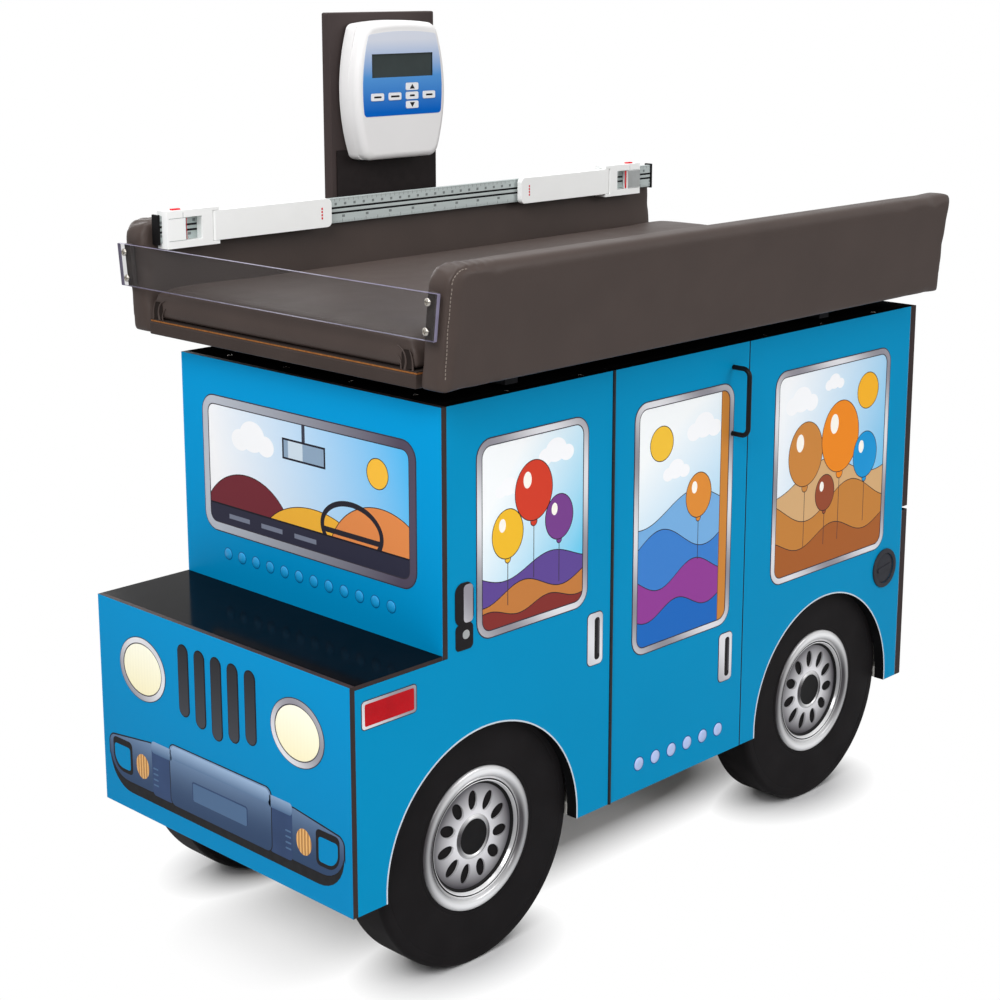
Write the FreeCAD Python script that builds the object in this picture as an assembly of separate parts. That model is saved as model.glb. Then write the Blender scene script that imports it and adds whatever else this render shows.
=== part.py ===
import FreeCAD, Part
import math
import os

# Scale table for infants in the form of a small bus, in millimetres.
# X runs from the hood to the drawers, Y from the door side to the rod side, Z up.
# Pieces are drawn from the hood's face, the cabinet's mid-plane and the floor.
# At the end everything moves so that the origin is the bottom centre of the whole.

# Cabinet
body_length = 1297.0
body_width = 560.0
body_bottom = 160.0
body_height = 663.0
hood_height = 322.0
hood_depth = 167.0
panel = 19.0
facing = 9.5
hood_skin = 6.0

# Wheels, which are fixed feet with a small flat
wheel_radius = 188.0
wheel_width = 76.0
wheel_flat = 1.5
front_axle = 250.0
rear_axle_inset = 240.0
arch_radius = 188.0
arch_rise = 11.0
notch_gap = 2.0
wheel_wall_height = 230.0

# Pierced wheel covers
cover_radius = 105.0
cover_sheet = 2.0
cover_gap = 0.3
bead_width = 15.0
bead_rise = 3.5
dish_depth = 10.0
disc_radius = 77.5
hub_radius = 29.0
hub_rise = 4.0
vent_count = 11
vent_circle = 54.0
vent_half_length = 15.0
vent_half_width = 9.0
vent_sides = 8

# Side door on a continuous hinge
door_front_land = 70.0
door_rear_land = 38.0
hinge_gap = 6.0
door_gap = 2.0
knuckle_radius = 2.5
knuckle_count = 5
knuckle_gap = 0.4
pin_radius = 1.2
running_gap = 0.1
leaf = 1.2
leaf_width = 17.0
turning_gap = 0.3

# Wire pulls
pull_span = 104.0
pull_projection = 35.0
pull_radius = 4.0
pull_bend = 12.0
pull_sides = 10
bend_steps = 2
pull_inset = 40.0
pull_drop = 87.0

# Shelf behind the door
shelf_height = 320.0
shelf_setback = 20.0
shelf_gap = 1.0
cleat_height = 25.0
cleat_thickness = 15.0
cleat_setback = 60.0

# Drawers at the rear
drawer_front = 16.0
front_gap = 6.0
lower_front_height = 303.0
drawer_back_gap = 31.0
drawer_wall = 15.0
drawer_floor = 8.0
drawer_gap = 3.0
upper_drawer_headroom = 85.0
upper_drawer_lift = 20.0
lower_drawer_headroom = 88.0
lower_drawer_lift = 6.0
runner_height = 16.0
runner_lift = 60.0
runner_setback = 16.0
groove_depth = 8.0
groove_land = 11.0
slide_gap = 0.5

# Weighing works between cabinet and tray
tray_gap = 32.6
cell_length = 110.0
cell_width = 25.0
cell_height = 16.0
cell_spacer = 3.0
cell_spacer_length = 30.0
cell_start = 140.0
cell_slot = 9.0
cell_slot_length = 34.0
beam_width = 50.0
beam_end = 14.0
beam_web = 3.0
beam_inset = 214.0

# Upholstered tray
tray_start = 116.0
tray_end_inset = 15.0
tray_width = 668.0
tray_board = 19.0
bolster_thickness = 48.0
bolster_height = 167.4
bolster_lean = 6.5
bolster_round = 14.0
bolster_bulge = 2.5
bolster_corner = 26.0
core_inset = 16.0
core_cover = 34.0
corner_shares = (0.0, 0.2, 0.55, 1.0)
soft_gap = 0.3
pad_board = 4.0
pad_inset = 3.0
pad_thickness = 46.0
pad_crown = 9.0
pad_tuck = 6.0
pad_draw = 3.0
pad_shoulder_draw = 1.0
pad_corner = 40.0
pad_shoulder = 8.0
pad_end_drop = 20.0

# Clear end stop
stop_thickness = 6.0
stop_height = 62.0
stop_lift = 69.0
stop_inset = 8.0
strip_thickness = 7.0
strip_width = 14.0

# Measuring rod with two sliders and folding arms
rail_start_inset = 25.0
rail_end_inset = 20.0
rail_height = 40.0
rail_lift = 131.4
rail_flange = 7.0
rail_web = 7.0
rail_rabbet = 6.0
groove_width = 3.0
groove_pitch = 8.0
rail_groove_depth = 2.5
end_cap = 4.0
cap_lip = 2.5
slider_length = 96.0
slider_margin = 8.0
slider_front = 13.4
slider_hook = 3.0
slider_gap = 0.6
slider_rest = 4.0
right_slider_rest = 46.0
arm_length = 222.0
arm_height = 45.0
arm_thickness = 10.0
arm_gap = 0.5
arm_pin = 1.8
arm_pin_inset = 7.0
arm_tip = 9.0
window_length = 30.0
window_height = 34.0
window_inset = 20.0

# Upright board and mounting plate
upright_offset = 46.0
upright_width = 234.0
upright_rise = 459.4
upright_thickness = 19.0
plate_thickness = 3.0
plate_inset = 11.0
plate_rise = 238.4
plate_tongue = 100.0
plate_tongue_rise = 394.4
plate_foot = 110.0

# Display head
display_rise = 334.4
display_height = 224.0
display_half = 100.0
display_end_half = 79.0
display_depth = 45.0
display_split = 22.0
display_corner = 14.0
display_bevel = 4.0
display_bow = 6.0
display_wall = 3.0
face_thickness = 1.2
face_low = 41.0
face_high = 90.0
face_inset = 12.0
face_bow = 5.0
screen_z = 40.0
screen_width = 136.0
screen_height = 38.0
screen_lap = 4.0
screen_glass = 3.0
circuit_board = 1.6
circuit_width = 150.0
circuit_low = 36.0
circuit_high = 66.0
post_width = 8.0
post_inset = 8.0

# Keys
key_width = 28.0
key_height = 12.0
key_corner = 1.8
key_proud = 0.8
key_gap = 0.4
key_reach = 5.0
key_flange = 1.2
key_flange_lap = 1.0
key_row_drop = 10.0
key_column = 38.4
key_column_start = 57.0
key_step = 14.8

# Worked out from the sizes above
V = FreeCAD.Vector
same_place = 0.001
half_width = body_width / 2
inner_half = half_width - panel
body_top = body_bottom + body_height
hood_top_z = body_bottom + hood_height
carcass_end = body_length - drawer_front
floor_top = body_bottom + panel
rear_axle = body_length - rear_axle_inset
wheel_z = wheel_radius - wheel_flat
wheel_inner = inner_half - wheel_width
wall_inner = wheel_inner - panel
door_start = front_axle + arch_radius + door_front_land
door_end = rear_axle - arch_radius - door_rear_land
hinge_x = door_start + hinge_gap / 2
drawer_length = carcass_end - door_end - panel - drawer_back_gap
tray_bottom = body_top + tray_gap
tray_end = body_length - tray_end_inset
tray_half = tray_width / 2
tray_inner = tray_half - bolster_thickness
lean = math.tan(math.radians(bolster_lean))
bolster_top = tray_bottom + bolster_height
pad_bottom = tray_bottom + tray_board + pad_board
rail_bottom = tray_bottom + rail_lift
rail_start = tray_start + rail_start_inset
rail_end = tray_end - rail_end_inset
rail_mid = rail_bottom + rail_height / 2
rail_back = tray_inner + lean * rail_lift - soft_gap
rail_face = rail_back - rail_web - rail_flange
slider_half = rail_height / 2 + slider_margin
slider_face = rail_face - slider_gap - slider_front
arm_axis_y = slider_face + arm_thickness / 2
plate_face = tray_half + lean * bolster_height + soft_gap
upright_face = plate_face + plate_thickness
upright_back = upright_face + upright_thickness
upright_x = (tray_start + tray_end) / 2 - upright_offset
upright_top = tray_bottom + upright_rise
plate_top = tray_bottom + plate_rise
plate_tongue_top = tray_bottom + plate_tongue_rise
display_z = tray_bottom + display_rise
display_face_y = plate_face - display_depth
overall_length = body_length + pull_projection
origin_x = overall_length / 2
origin_y = (upright_back - (plate_face - soft_gap)) / 2


def box(x0, x1, y0, y1, z0, z1):
    return Part.makeBox(x1 - x0, y1 - y0, z1 - z0, V(x0, y0, z0))


def rod(start, end, radius):
    way = end.sub(start)
    return Part.makeCylinder(radius, way.Length, start, way)


def prism(points, way):
    return Part.Face(Part.makePolygon(points + points[:1])).extrude(way)


def along_x(points, x0, x1):
    return prism([V(x0, y, z) for y, z in points], V(x1 - x0, 0, 0))


def along_y(points, y0, y1):
    return prism([V(x, y0, z) for x, z in points], V(0, y1 - y0, 0))


def fuse(shapes):
    return shapes[0].multiFuse(shapes[1:]).removeSplitter()


def mirrored(shape):
    return shape.mirror(V(0, 0, 0), V(0, 1, 0))


def save(name, shapes):
    group = shapes if isinstance(shapes, list) else [shapes]
    part = group[0] if len(group) == 1 else Part.makeCompound(group)
    moved = part.copy()
    moved.translate(V(-origin_x, -origin_y, 0))
    moved.exportStep("parts/" + name + ".step")


# Cabinet boards
def arch(axle, y0, y1):
    centre_z = body_bottom + arch_rise
    round_top = rod(V(axle, y0, centre_z), V(axle, y1, centre_z), arch_radius)
    legs = box(axle - arch_radius, axle + arch_radius, y0, y1, body_bottom, centre_z)
    return fuse([round_top, legs])


def front_side():
    hood_under = hood_top_z - hood_skin
    outline = [(facing, body_bottom), (facing, hood_under), (hood_depth + facing, hood_under)]
    outline += [(hood_depth + facing, body_top), (door_start, body_top), (door_start, body_bottom)]
    board = along_y(outline, -half_width, -inner_half)
    return board.cut(arch(front_axle, -half_width, -inner_half))


def rear_side():
    board = box(door_end, carcass_end, -half_width, -inner_half, body_bottom, body_top)
    return board.cut(arch(rear_axle, -half_width, -inner_half))


def far_side():
    middle = box(door_start, door_end, -half_width, -inner_half, body_bottom, body_top)
    return mirrored(fuse([front_side(), middle, rear_side()]))


def bottom_board():
    board = box(facing, carcass_end, -inner_half, inner_half, body_bottom, floor_top)
    reach = wheel_radius + notch_gap
    for axle in (front_axle, rear_axle):
        notch = box(axle - reach, axle + reach, -inner_half, -wheel_inner, body_bottom, floor_top)
        board = board.cut(notch).cut(mirrored(notch))
    return board


def wheel_walls():
    spans = [(facing, door_start - panel), (door_end + panel, carcass_end)]
    top = floor_top + wheel_wall_height
    walls = [box(x0, x1, -wheel_inner, -wall_inner, floor_top, top) for x0, x1 in spans]
    return walls + [mirrored(wall) for wall in walls]


def cabinet():
    lid_under = body_top - panel
    hood_under = hood_top_z - hood_skin
    save("near_front_side", front_side())
    save("near_rear_side", rear_side())
    save("far_side", far_side())
    save("hood_front", box(0, facing, -half_width, half_width, body_bottom, hood_top_z))
    save("hood_top", box(facing, hood_depth, -half_width, half_width, hood_under, hood_top_z))
    glass_x = hood_depth + facing
    save("windshield_panel", box(hood_depth, glass_x, -half_width, half_width, hood_under, body_top))
    save("cabinet_top", box(glass_x, carcass_end, -inner_half, inner_half, lid_under, body_top))
    save("bottom_board", bottom_board())
    for name, x in (("front_bulkhead", door_start - panel), ("rear_bulkhead", door_end)):
        save(name, box(x, x + panel, -inner_half, inner_half, floor_top, lid_under))
    save("wheel_walls", wheel_walls())


def shelf_cleats():
    top = body_bottom + shelf_height
    y0 = cleat_setback - inner_half
    spans = [(door_start, door_start + cleat_thickness), (door_end - cleat_thickness, door_end)]
    return [box(x0, x1, y0, inner_half, top - cleat_height, top) for x0, x1 in spans]


def shelf():
    x0 = door_start + shelf_gap
    z0 = body_bottom + shelf_height
    return box(x0, door_end - shelf_gap, shelf_setback - inner_half, inner_half, z0, z0 + panel)


# Wheels: the tyre is turned about the axle, with a pocket that its cover sits in
def turned(points, axle):
    face = Part.Face(Part.makePolygon(points + points[:1]))
    return face.revolve(V(axle, 0, wheel_z), V(0, 1, 0), 360)


def tyre(axle):
    outer, inner = -inner_half, -wheel_inner
    seat = cover_radius + cover_gap
    deep = outer + dish_depth + cover_sheet

    def at(radius, y):
        return V(axle + radius, y, wheel_z)

    profile = [at(0, inner), at(0, deep), at(seat, deep), at(seat, outer)]
    profile += [at(wheel_radius, outer), at(wheel_radius, inner)]
    below = box(axle - wheel_radius, axle + wheel_radius, outer, inner, -wheel_radius, 0)
    return turned(profile, axle).cut(below)


def vent(axle, angle):
    radial = V(math.cos(angle), 0, math.sin(angle))
    across = V(-math.sin(angle), 0, math.cos(angle))
    centre = V(axle, -inner_half, wheel_z) + radial * vent_circle
    oval = []
    for index in range(vent_sides):
        turn = 2 * math.pi * index / vent_sides
        side = across * (vent_half_width * math.sin(turn))
        oval.append(centre + radial * (vent_half_length * math.cos(turn)) + side)
    return prism(oval, V(0, dish_depth + 2 * cover_sheet, 0))


def wheel_cover(axle):
    inside = cover_radius - bead_width
    floor = -dish_depth
    hub_top = floor + hub_rise

    def at(radius, rise):
        return V(axle + radius, -inner_half - rise, wheel_z)

    bead = [at(cover_radius, 0), at(cover_radius - bead_width / 2, bead_rise)]
    front = [at(inside, 0), at(disc_radius, floor), at(hub_radius, floor)]
    front += [at(hub_radius, hub_top), at(0, hub_top)]
    back = [at(0, floor - cover_sheet), at(inside, floor - cover_sheet)]
    back += [at(inside, -cover_sheet), at(cover_radius, -cover_sheet)]
    cover = turned(bead + front + back, axle)
    for index in range(vent_count):
        cover = cover.cut(vent(axle, 2 * math.pi * index / vent_count - math.pi / 2))
    return cover


def wheels():
    covers = []
    for place, axle in (("front", front_axle), ("rear", rear_axle)):
        near_tyre, near_cover = tyre(axle), wheel_cover(axle)
        save("tyre_" + place + "_near", near_tyre)
        save("tyre_" + place + "_far", mirrored(near_tyre))
        covers += [near_cover, mirrored(near_cover)]
    save("wheel_covers", covers)


# Wire pull: a bar on two legs with rounded corners, along one axis and out along another
def wire_pull(centre, along, out):
    level = pull_projection - pull_radius - pull_bend
    reach = pull_span / 2 - pull_bend
    path = [centre - along * (pull_span / 2)]
    for way, first in ((-1, 0.0), (1, math.pi / 2)):
        for step in range(bend_steps + 1):
            turn = first + math.pi / 2 * step / bend_steps
            side = way * reach - pull_bend * math.cos(turn)
            path.append(centre + along * side + out * (level + pull_bend * math.sin(turn)))
    path.append(centre + along * (pull_span / 2))
    across = along.cross(out)
    section = []
    for index in range(pull_sides):
        turn = 2 * math.pi * index / pull_sides
        section.append(path[0] + (along * math.cos(turn) + across * math.sin(turn)) * pull_radius)
    wire = Part.makePolygon(section + section[:1])
    return Part.makePolygon(path).makePipeShell([wire], True, False, 1)


# Door with its continuous hinge
def knuckles(first):
    pitch = body_height / knuckle_count
    spans = []
    for index in range(first, knuckle_count, 2):
        z0 = body_bottom + index * pitch + knuckle_gap / 2
        spans.append((z0, z0 + pitch - knuckle_gap))
    return spans


def hinge_leaf(first, x0, x1):
    plate = box(x0, x1, -half_width, leaf_width - half_width, body_bottom, body_top)
    clear = knuckle_radius + turning_gap - half_width
    for z0, z1 in knuckles(1 - first):
        plate = plate.cut(box(x0, x1, -half_width, clear, z0 - knuckle_gap, z1 + knuckle_gap))
    barrels = [rod(hinge_point(z0), hinge_point(z1), knuckle_radius) for z0, z1 in knuckles(first)]
    whole = fuse([plate] + barrels)
    bore = rod(hinge_point(body_bottom), hinge_point(body_top), pin_radius + running_gap)
    return whole.cut(bore)


def hinge_point(z):
    return V(hinge_x, -half_width, z)


def door():
    hung = door_start + hinge_gap
    free = door_end - door_gap
    save("side_door", box(hung, free, -half_width, -inner_half, body_bottom, body_top))
    save("hinge_frame_leaf", hinge_leaf(0, door_start, door_start + leaf))
    save("hinge_door_leaf", hinge_leaf(1, hung - leaf, hung))
    save("hinge_pin", rod(hinge_point(body_bottom), hinge_point(body_top), pin_radius))
    middle = V(free - pull_inset, -half_width, body_top - pull_drop)
    save("door_pull", wire_pull(middle, V(0, 0, 1), V(0, -1, 0)))
    save("shelf", shelf())
    save("shelf_cleats", shelf_cleats())


# Drawers: boxes with grooved sides on fixed runners
def drawer_box(half, z0, height):
    x0 = carcass_end - drawer_length
    whole = box(x0, carcass_end, -half, half, z0, z0 + height)
    room = box(
        x0 + drawer_wall,
        carcass_end - drawer_wall,
        drawer_wall - half,
        half - drawer_wall,
        z0 + drawer_floor,
        z0 + height,
    )
    low = z0 + runner_lift - slide_gap
    high = z0 + runner_lift + runner_height + slide_gap
    groove = box(x0, carcass_end - groove_land, -half, groove_depth - half, low, high)
    return whole.cut(room).cut(groove).cut(mirrored(groove))


def runner(wall, z0):
    x0 = door_end + panel + slide_gap
    reach = drawer_gap + groove_depth - slide_gap
    low = z0 + runner_lift
    return box(x0, carcass_end - runner_setback, -wall, reach - wall, low, low + runner_height)


def drawers():
    split = body_bottom + lower_front_height
    upper_z = split + front_gap + upper_drawer_lift
    lower_z = floor_top + lower_drawer_lift
    upper_height = body_top - panel - upper_drawer_headroom - upper_z
    lower_height = split - lower_drawer_headroom - lower_z
    runners = []
    levels = [
        ("upper", split + front_gap, body_top, inner_half, upper_z, upper_height),
        ("lower", body_bottom, split, wall_inner, lower_z, lower_height),
    ]
    for name, z0, z1, wall, box_z, height in levels:
        save(name + "_drawer_front", box(carcass_end, body_length, -half_width, half_width, z0, z1))
        save(name + "_drawer_box", drawer_box(wall - drawer_gap, box_z, height))
        middle = V(body_length, 0, (z0 + z1) / 2)
        save(name + "_drawer_pull", wire_pull(middle, V(0, 1, 0), V(1, 0, 0)))
        strip = runner(wall, box_z)
        runners += [strip, mirrored(strip)]
    save("cabinet_runners", runners)


# Load cells on the cabinet carry two beams under the tray
def load_cell(x):
    z0 = body_top + cell_spacer
    z1 = z0 + cell_height
    y1 = cell_start + cell_length
    half = cell_width / 2
    bar = box(x - half, x + half, cell_start, y1, z0, z1)
    foot = box(x - half, x + half, cell_start, cell_start + cell_spacer_length, body_top, z0)
    head = box(x - half, x + half, y1 - cell_spacer_length, y1, z1, z1 + cell_spacer)
    middle = cell_start + cell_length / 2
    reach = cell_slot_length / 2
    low = (z0 + z1 - cell_slot) / 2
    slot = box(x - half, x + half, middle - reach, middle + reach, low, low + cell_slot)
    return fuse([bar, foot, head]).cut(slot)


def weigh_beam(x):
    under = body_top + 2 * cell_spacer + cell_height
    half = beam_width / 2
    end = cell_start + cell_length + beam_end
    outside = box(x - half, x + half, -end, end, under, tray_bottom)
    sides = half - beam_web
    inside = box(x - sides, x + sides, -end, end, under, tray_bottom - beam_web)
    seat_y = cell_start + cell_length - cell_spacer_length
    seat = box(x - sides, x + sides, seat_y, end, under, tray_bottom - beam_web)
    return fuse([outside.cut(inside), seat, mirrored(seat)])


def weighing():
    places = (tray_start + beam_inset, tray_end - beam_inset)
    cells = []
    for x in places:
        cells += [load_cell(x), mirrored(load_cell(x))]
    save("load_cells", cells)
    save("weigh_beams", [weigh_beam(x) for x in places])


# Upholstery: lofts whose sections lean outwards and draw in at the ends
def bolster_section(x, inset, drop):
    low, high = tray_bottom, bolster_top - drop
    edge = high - bolster_round

    def at(across, z, bulge=0.0):
        return V(x, across + bulge + lean * (z - tray_bottom), z)

    inner, outer = tray_inner + inset, tray_half - inset
    middle_z = (low + edge) / 2
    foot, hip = at(inner, low), at(outer, low)
    outside = Part.Arc(hip, at(outer, middle_z, bolster_bulge), at(outer, edge)).toShape()
    crown = Part.Arc(at(outer, edge), at((inner + outer) / 2, high), at(inner, edge)).toShape()
    inside = Part.makeLine(at(inner, edge), foot)
    return Part.Wire([Part.makeLine(foot, hip), outside, crown, inside])


def bolster_core():
    x0, x1 = tray_start + core_inset, tray_end - core_inset
    middle = tray_inner + bolster_thickness / 2
    top = bolster_height - core_cover
    points = []
    for z in (0.0, top):
        points.append((middle - tray_board / 2 + lean * z, tray_bottom + z))
    for z in (top, 0.0):
        points.append((middle + tray_board / 2 + lean * z, tray_bottom + z))
    return along_x(points, x0, x1)


def bolster(core):
    ends = []
    for share in corner_shares:
        reach = bolster_corner * share
        drop = bolster_corner - math.sqrt(bolster_corner ** 2 - (bolster_corner - reach) ** 2)
        ends.append((reach, soft_edge(share), drop))
    stations = [bolster_section(tray_start + d, inset, drop) for d, inset, drop in ends]
    stations += [bolster_section(tray_end - d, inset, drop) for d, inset, drop in reversed(ends)]
    return Part.makeLoft(stations, True, True).cut(core)


def soft_edge(share):
    return bolster_bulge * 2 * (1 - share) ** 2


def pad_section(x, inset, drop):
    half = tray_inner - soft_gap - inset
    low = pad_bottom
    high = pad_bottom + pad_thickness - drop
    tuck = half - pad_tuck
    waist = (low + high) / 2

    def side(way):
        return Part.Arc(V(x, way * tuck, low), V(x, way * half, waist), V(x, way * tuck, high)).toShape()

    under = Part.makeLine(V(x, -tuck, low), V(x, tuck, low))
    rise = pad_crown * (1 - drop / pad_thickness)
    over = Part.Arc(V(x, tuck, high), V(x, 0, high + rise), V(x, -tuck, high)).toShape()
    return Part.Wire(Part.__sortEdges__([under, side(1), over, side(-1)]))


def tray_pad():
    x0, x1 = tray_start + pad_inset, tray_end - pad_inset
    ends = [
        (0.0, pad_draw, pad_end_drop),
        (pad_shoulder, pad_shoulder_draw, pad_shoulder),
        (pad_corner, 0.0, 0.0),
    ]
    stations = [pad_section(x0 + d, inset, drop) for d, inset, drop in ends]
    stations.append(pad_section((x0 + x1) / 2, pad_draw, 0.0))
    stations += [pad_section(x1 - d, inset, drop) for d, inset, drop in reversed(ends)]
    return Part.makeLoft(stations, True, True)


# Clear end stop on strips at the ends of the bolsters
def end_stop():
    low = tray_bottom + stop_lift
    high = low + stop_height
    ends = [tray_half + lean * (z - tray_bottom) - stop_inset for z in (low, high)]
    outline = [(-ends[0], low), (ends[0], low), (ends[1], high), (-ends[1], high)]
    back = tray_start - strip_thickness
    return along_x(outline, back - stop_thickness, back)


def end_strip():
    low = tray_bottom + stop_lift
    high = low + stop_height
    centre = tray_inner + bolster_thickness / 2
    left, right = centre - strip_width / 2, centre + strip_width / 2
    corners = ((left, low), (right, low), (right, high), (left, high))
    outline = [(y + lean * (z - tray_bottom), z) for y, z in corners]
    return along_x(outline, tray_start - strip_thickness, tray_start)


def tray():
    base_top = tray_bottom + tray_board
    save("tray_base", box(tray_start, tray_end, -tray_inner, tray_inner, tray_bottom, base_top))
    x0, x1 = tray_start + pad_inset, tray_end - pad_inset
    rim = tray_inner - soft_gap
    save("pad_board", box(x0, x1, -rim, rim, base_top, pad_bottom))
    save("tray_pad", tray_pad())
    core = bolster_core()
    soft = bolster(core)
    save("bolster_boards", [core, mirrored(core)])
    save("far_bolster", soft)
    save("near_bolster", mirrored(soft))
    save("end_stop", end_stop())
    save("end_stop_strips", [end_strip(), mirrored(end_strip())])


# Measuring rod: an extruded rail, hooked sliders and arms that fold against it
def rail_outline():
    half = rail_height / 2
    neck = half - rail_rabbet
    step = rail_face + rail_flange
    front = [(rail_face, rail_mid - half), (step, rail_mid - half), (step, rail_mid - neck)]
    back = [(rail_back, rail_mid - neck), (rail_back, rail_mid + neck), (step, rail_mid + neck)]
    return front + back + [(step, rail_mid + half), (rail_face, rail_mid + half)]


def rail():
    bar = along_x(rail_outline(), rail_start, rail_end)
    for z in (rail_mid - groove_pitch / 2, rail_mid + groove_pitch / 2):
        low, high = z - groove_width / 2, z + groove_width / 2
        bar = bar.cut(box(rail_start, rail_end, rail_face, rail_face + rail_groove_depth, low, high))
    return bar


def slider_profile(x0, x1):
    back = rail_face + rail_flange + slider_gap + slider_hook
    outside = box(x0, x1, slider_face, back, rail_mid - slider_half, rail_mid + slider_half)
    room = rail_height / 2 + slider_gap
    neck = rail_height / 2 - rail_rabbet + slider_gap
    hook = rail_face + rail_flange + slider_gap
    inside = box(x0, x1, rail_face - slider_gap, hook, rail_mid - room, rail_mid + room)
    slot = box(x0, x1, hook, back, rail_mid - neck, rail_mid + neck)
    return outside.cut(inside).cut(slot)


def slider(free_end, hinge_end):
    way = 1 if hinge_end > free_end else -1
    x0, x1 = min(free_end, hinge_end), max(free_end, hinge_end)
    body = slider_profile(x0, x1)
    pin_x = hinge_end - way * arm_pin_inset
    fork_start = pin_x - way * (arm_thickness / 2 + arm_gap)
    fork_half = arm_height / 2 + arm_gap
    fork = box(min(fork_start, hinge_end), max(fork_start, hinge_end), slider_face, rail_face,
               rail_mid - fork_half, rail_mid + fork_half)
    near = fork_start - way * window_inset
    far = near - way * window_length
    window_half = window_height / 2
    window = box(min(near, far), max(near, far), slider_face, rail_face,
                 rail_mid - window_half, rail_mid + window_half)
    low, high = rail_mid - slider_half, rail_mid + slider_half
    pin = rod(V(pin_x, arm_axis_y, low), V(pin_x, arm_axis_y, high), arm_pin)
    return fuse([body.cut(fork).cut(window), pin])


def arm(hinge_end, way):
    pin_x = hinge_end - way * arm_pin_inset
    tip = hinge_end + way * arm_length
    low, high = rail_mid - arm_height / 2, rail_mid + arm_height / 2
    y0, y1 = slider_face, slider_face + arm_thickness
    blade = box(min(pin_x, tip), max(pin_x, tip), y0, y1, low, high)
    corners = []
    for edge in blade.Edges:
        start, end = [vertex.Point for vertex in edge.Vertexes]
        at_tip = abs(start.x - tip) + abs(end.x - tip) < same_place
        if at_tip and abs(start.z - end.z) < same_place:
            corners.append(edge)
    blade = blade.makeFillet(arm_tip, corners)
    root = rod(V(pin_x, arm_axis_y, low), V(pin_x, arm_axis_y, high), arm_thickness / 2)
    bore = rod(V(pin_x, arm_axis_y, low), V(pin_x, arm_axis_y, high), arm_pin + running_gap)
    return fuse([blade, root]).cut(bore)


def measuring_rod():
    save("measuring_rail", rail())
    caps = []
    for x0, x1 in ((rail_start - end_cap, rail_start), (rail_end, rail_end + end_cap)):
        half = rail_height / 2 + cap_lip
        caps.append(box(x0, x1, rail_face - cap_lip, rail_back, rail_mid - half, rail_mid + half))
    save("rail_end_caps", caps)
    left_free = rail_start + slider_rest
    left_hinge = left_free + slider_length
    right_free = rail_end - right_slider_rest
    right_hinge = right_free - slider_length
    save("left_slider", slider(left_free, left_hinge))
    save("left_arm", arm(left_hinge, 1))
    save("right_slider", slider(right_free, right_hinge))
    save("right_arm", arm(right_hinge, -1))


# Upright board on a bent plate that runs under the tray
def mounting_plate():
    x0, x1 = upright_x - upright_width / 2 + plate_inset, upright_x + upright_width / 2
    under = tray_bottom - plate_thickness
    wide = box(x0, x1, plate_face, upright_face, under, plate_top)
    half = plate_tongue / 2
    tongue = box(upright_x - half, upright_x + half, plate_face, upright_face, plate_top, plate_tongue_top)
    foot = box(x0, x1, upright_face - plate_foot, upright_face, under, tray_bottom)
    return fuse([wide, tongue, foot])


def upright():
    half = upright_width / 2
    under = tray_bottom - plate_thickness
    board = box(upright_x - half, upright_x + half, upright_face, upright_back, under, upright_top)
    save("upright_board", board)
    save("mounting_plate", mounting_plate())


# Display head: two barrel-sided shells, a printed face, a screen, a circuit and keys
def barrel_half(rise):
    return display_half - (display_half - display_end_half) * (2 * rise / display_height) ** 2


def barrel(low, high, inset, bow, y0, y1):
    def at(side, rise):
        return V(upright_x + side * (barrel_half(rise) - inset), y0, display_z + rise)

    middle = (low + high) / 2
    top = V(upright_x, y0, display_z + high + bow)
    edges = [Part.makeLine(at(-1, low), at(1, low))]
    edges.append(Part.Arc(at(1, low), at(1, middle), at(1, high)).toShape())
    edges.append(Part.Arc(at(1, high), top, at(-1, high)).toShape())
    edges.append(Part.Arc(at(-1, high), at(-1, middle), at(-1, low)).toShape())
    return Part.Face(Part.Wire(edges)).extrude(V(0, y1 - y0, 0))


def rounded(shape, radius):
    def level(edge):
        return edge.BoundBox.YLength < same_place

    return shape.makeFillet(radius, [edge for edge in shape.Edges if not level(edge)])


def bevelled(shape, y, width):
    def on_rim(edge):
        return abs(edge.BoundBox.YMin - y) + abs(edge.BoundBox.YMax - y) < same_place

    return shape.makeChamfer(width, [edge for edge in shape.Edges if on_rim(edge)])


def housing(y0, y1):
    half = display_height / 2
    return rounded(barrel(-half, half - display_bow, 0.0, display_bow, y0, y1), display_corner)


def hollow(y0, y1):
    half = display_height / 2 - display_wall
    return barrel(-half, half - display_bow, 2 * display_wall, display_bow, y0, y1)


def key_places():
    first = upright_x - key_column_start
    row = display_z - key_row_drop
    third = first + 2 * key_column
    return [
        ("key_units", first, row),
        ("key_hold", first + key_column, row),
        ("key_up", third, row + key_step),
        ("key_enter", third, row),
        ("key_down", third, row - key_step),
        ("key_power", first + 3 * key_column, row),
    ]


def key_block(x, z, margin, y0, y1):
    half_x, half_z = key_width / 2 + margin, key_height / 2 + margin
    short_x, short_z = half_x - key_corner, half_z - key_corner
    quarter = [(half_x, short_z), (short_x, half_z)]
    outline = quarter + [(-a, b) for a, b in reversed(quarter)]
    outline += [(a, -b) for a, b in reversed(outline)]
    return along_y([(x + a, z + b) for a, b in outline], y0, y1)


def key(x, z):
    wall = display_face_y + display_wall
    cap = key_block(x, z, 0.0, display_face_y - key_proud, display_face_y + key_reach)
    flange = key_block(x, z, key_flange_lap, wall + key_gap, wall + key_gap + key_flange)
    return fuse([cap, flange])


def opened(shape, y0, y1):
    half_x, half_z = screen_width / 2, screen_height / 2
    low = display_z + screen_z - half_z
    shape = shape.cut(box(upright_x - half_x, upright_x + half_x, y0, y1, low, low + screen_height))
    for name, x, z in key_places():
        shape = shape.cut(key_block(x, z, key_gap, y0, y1))
    return shape


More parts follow.
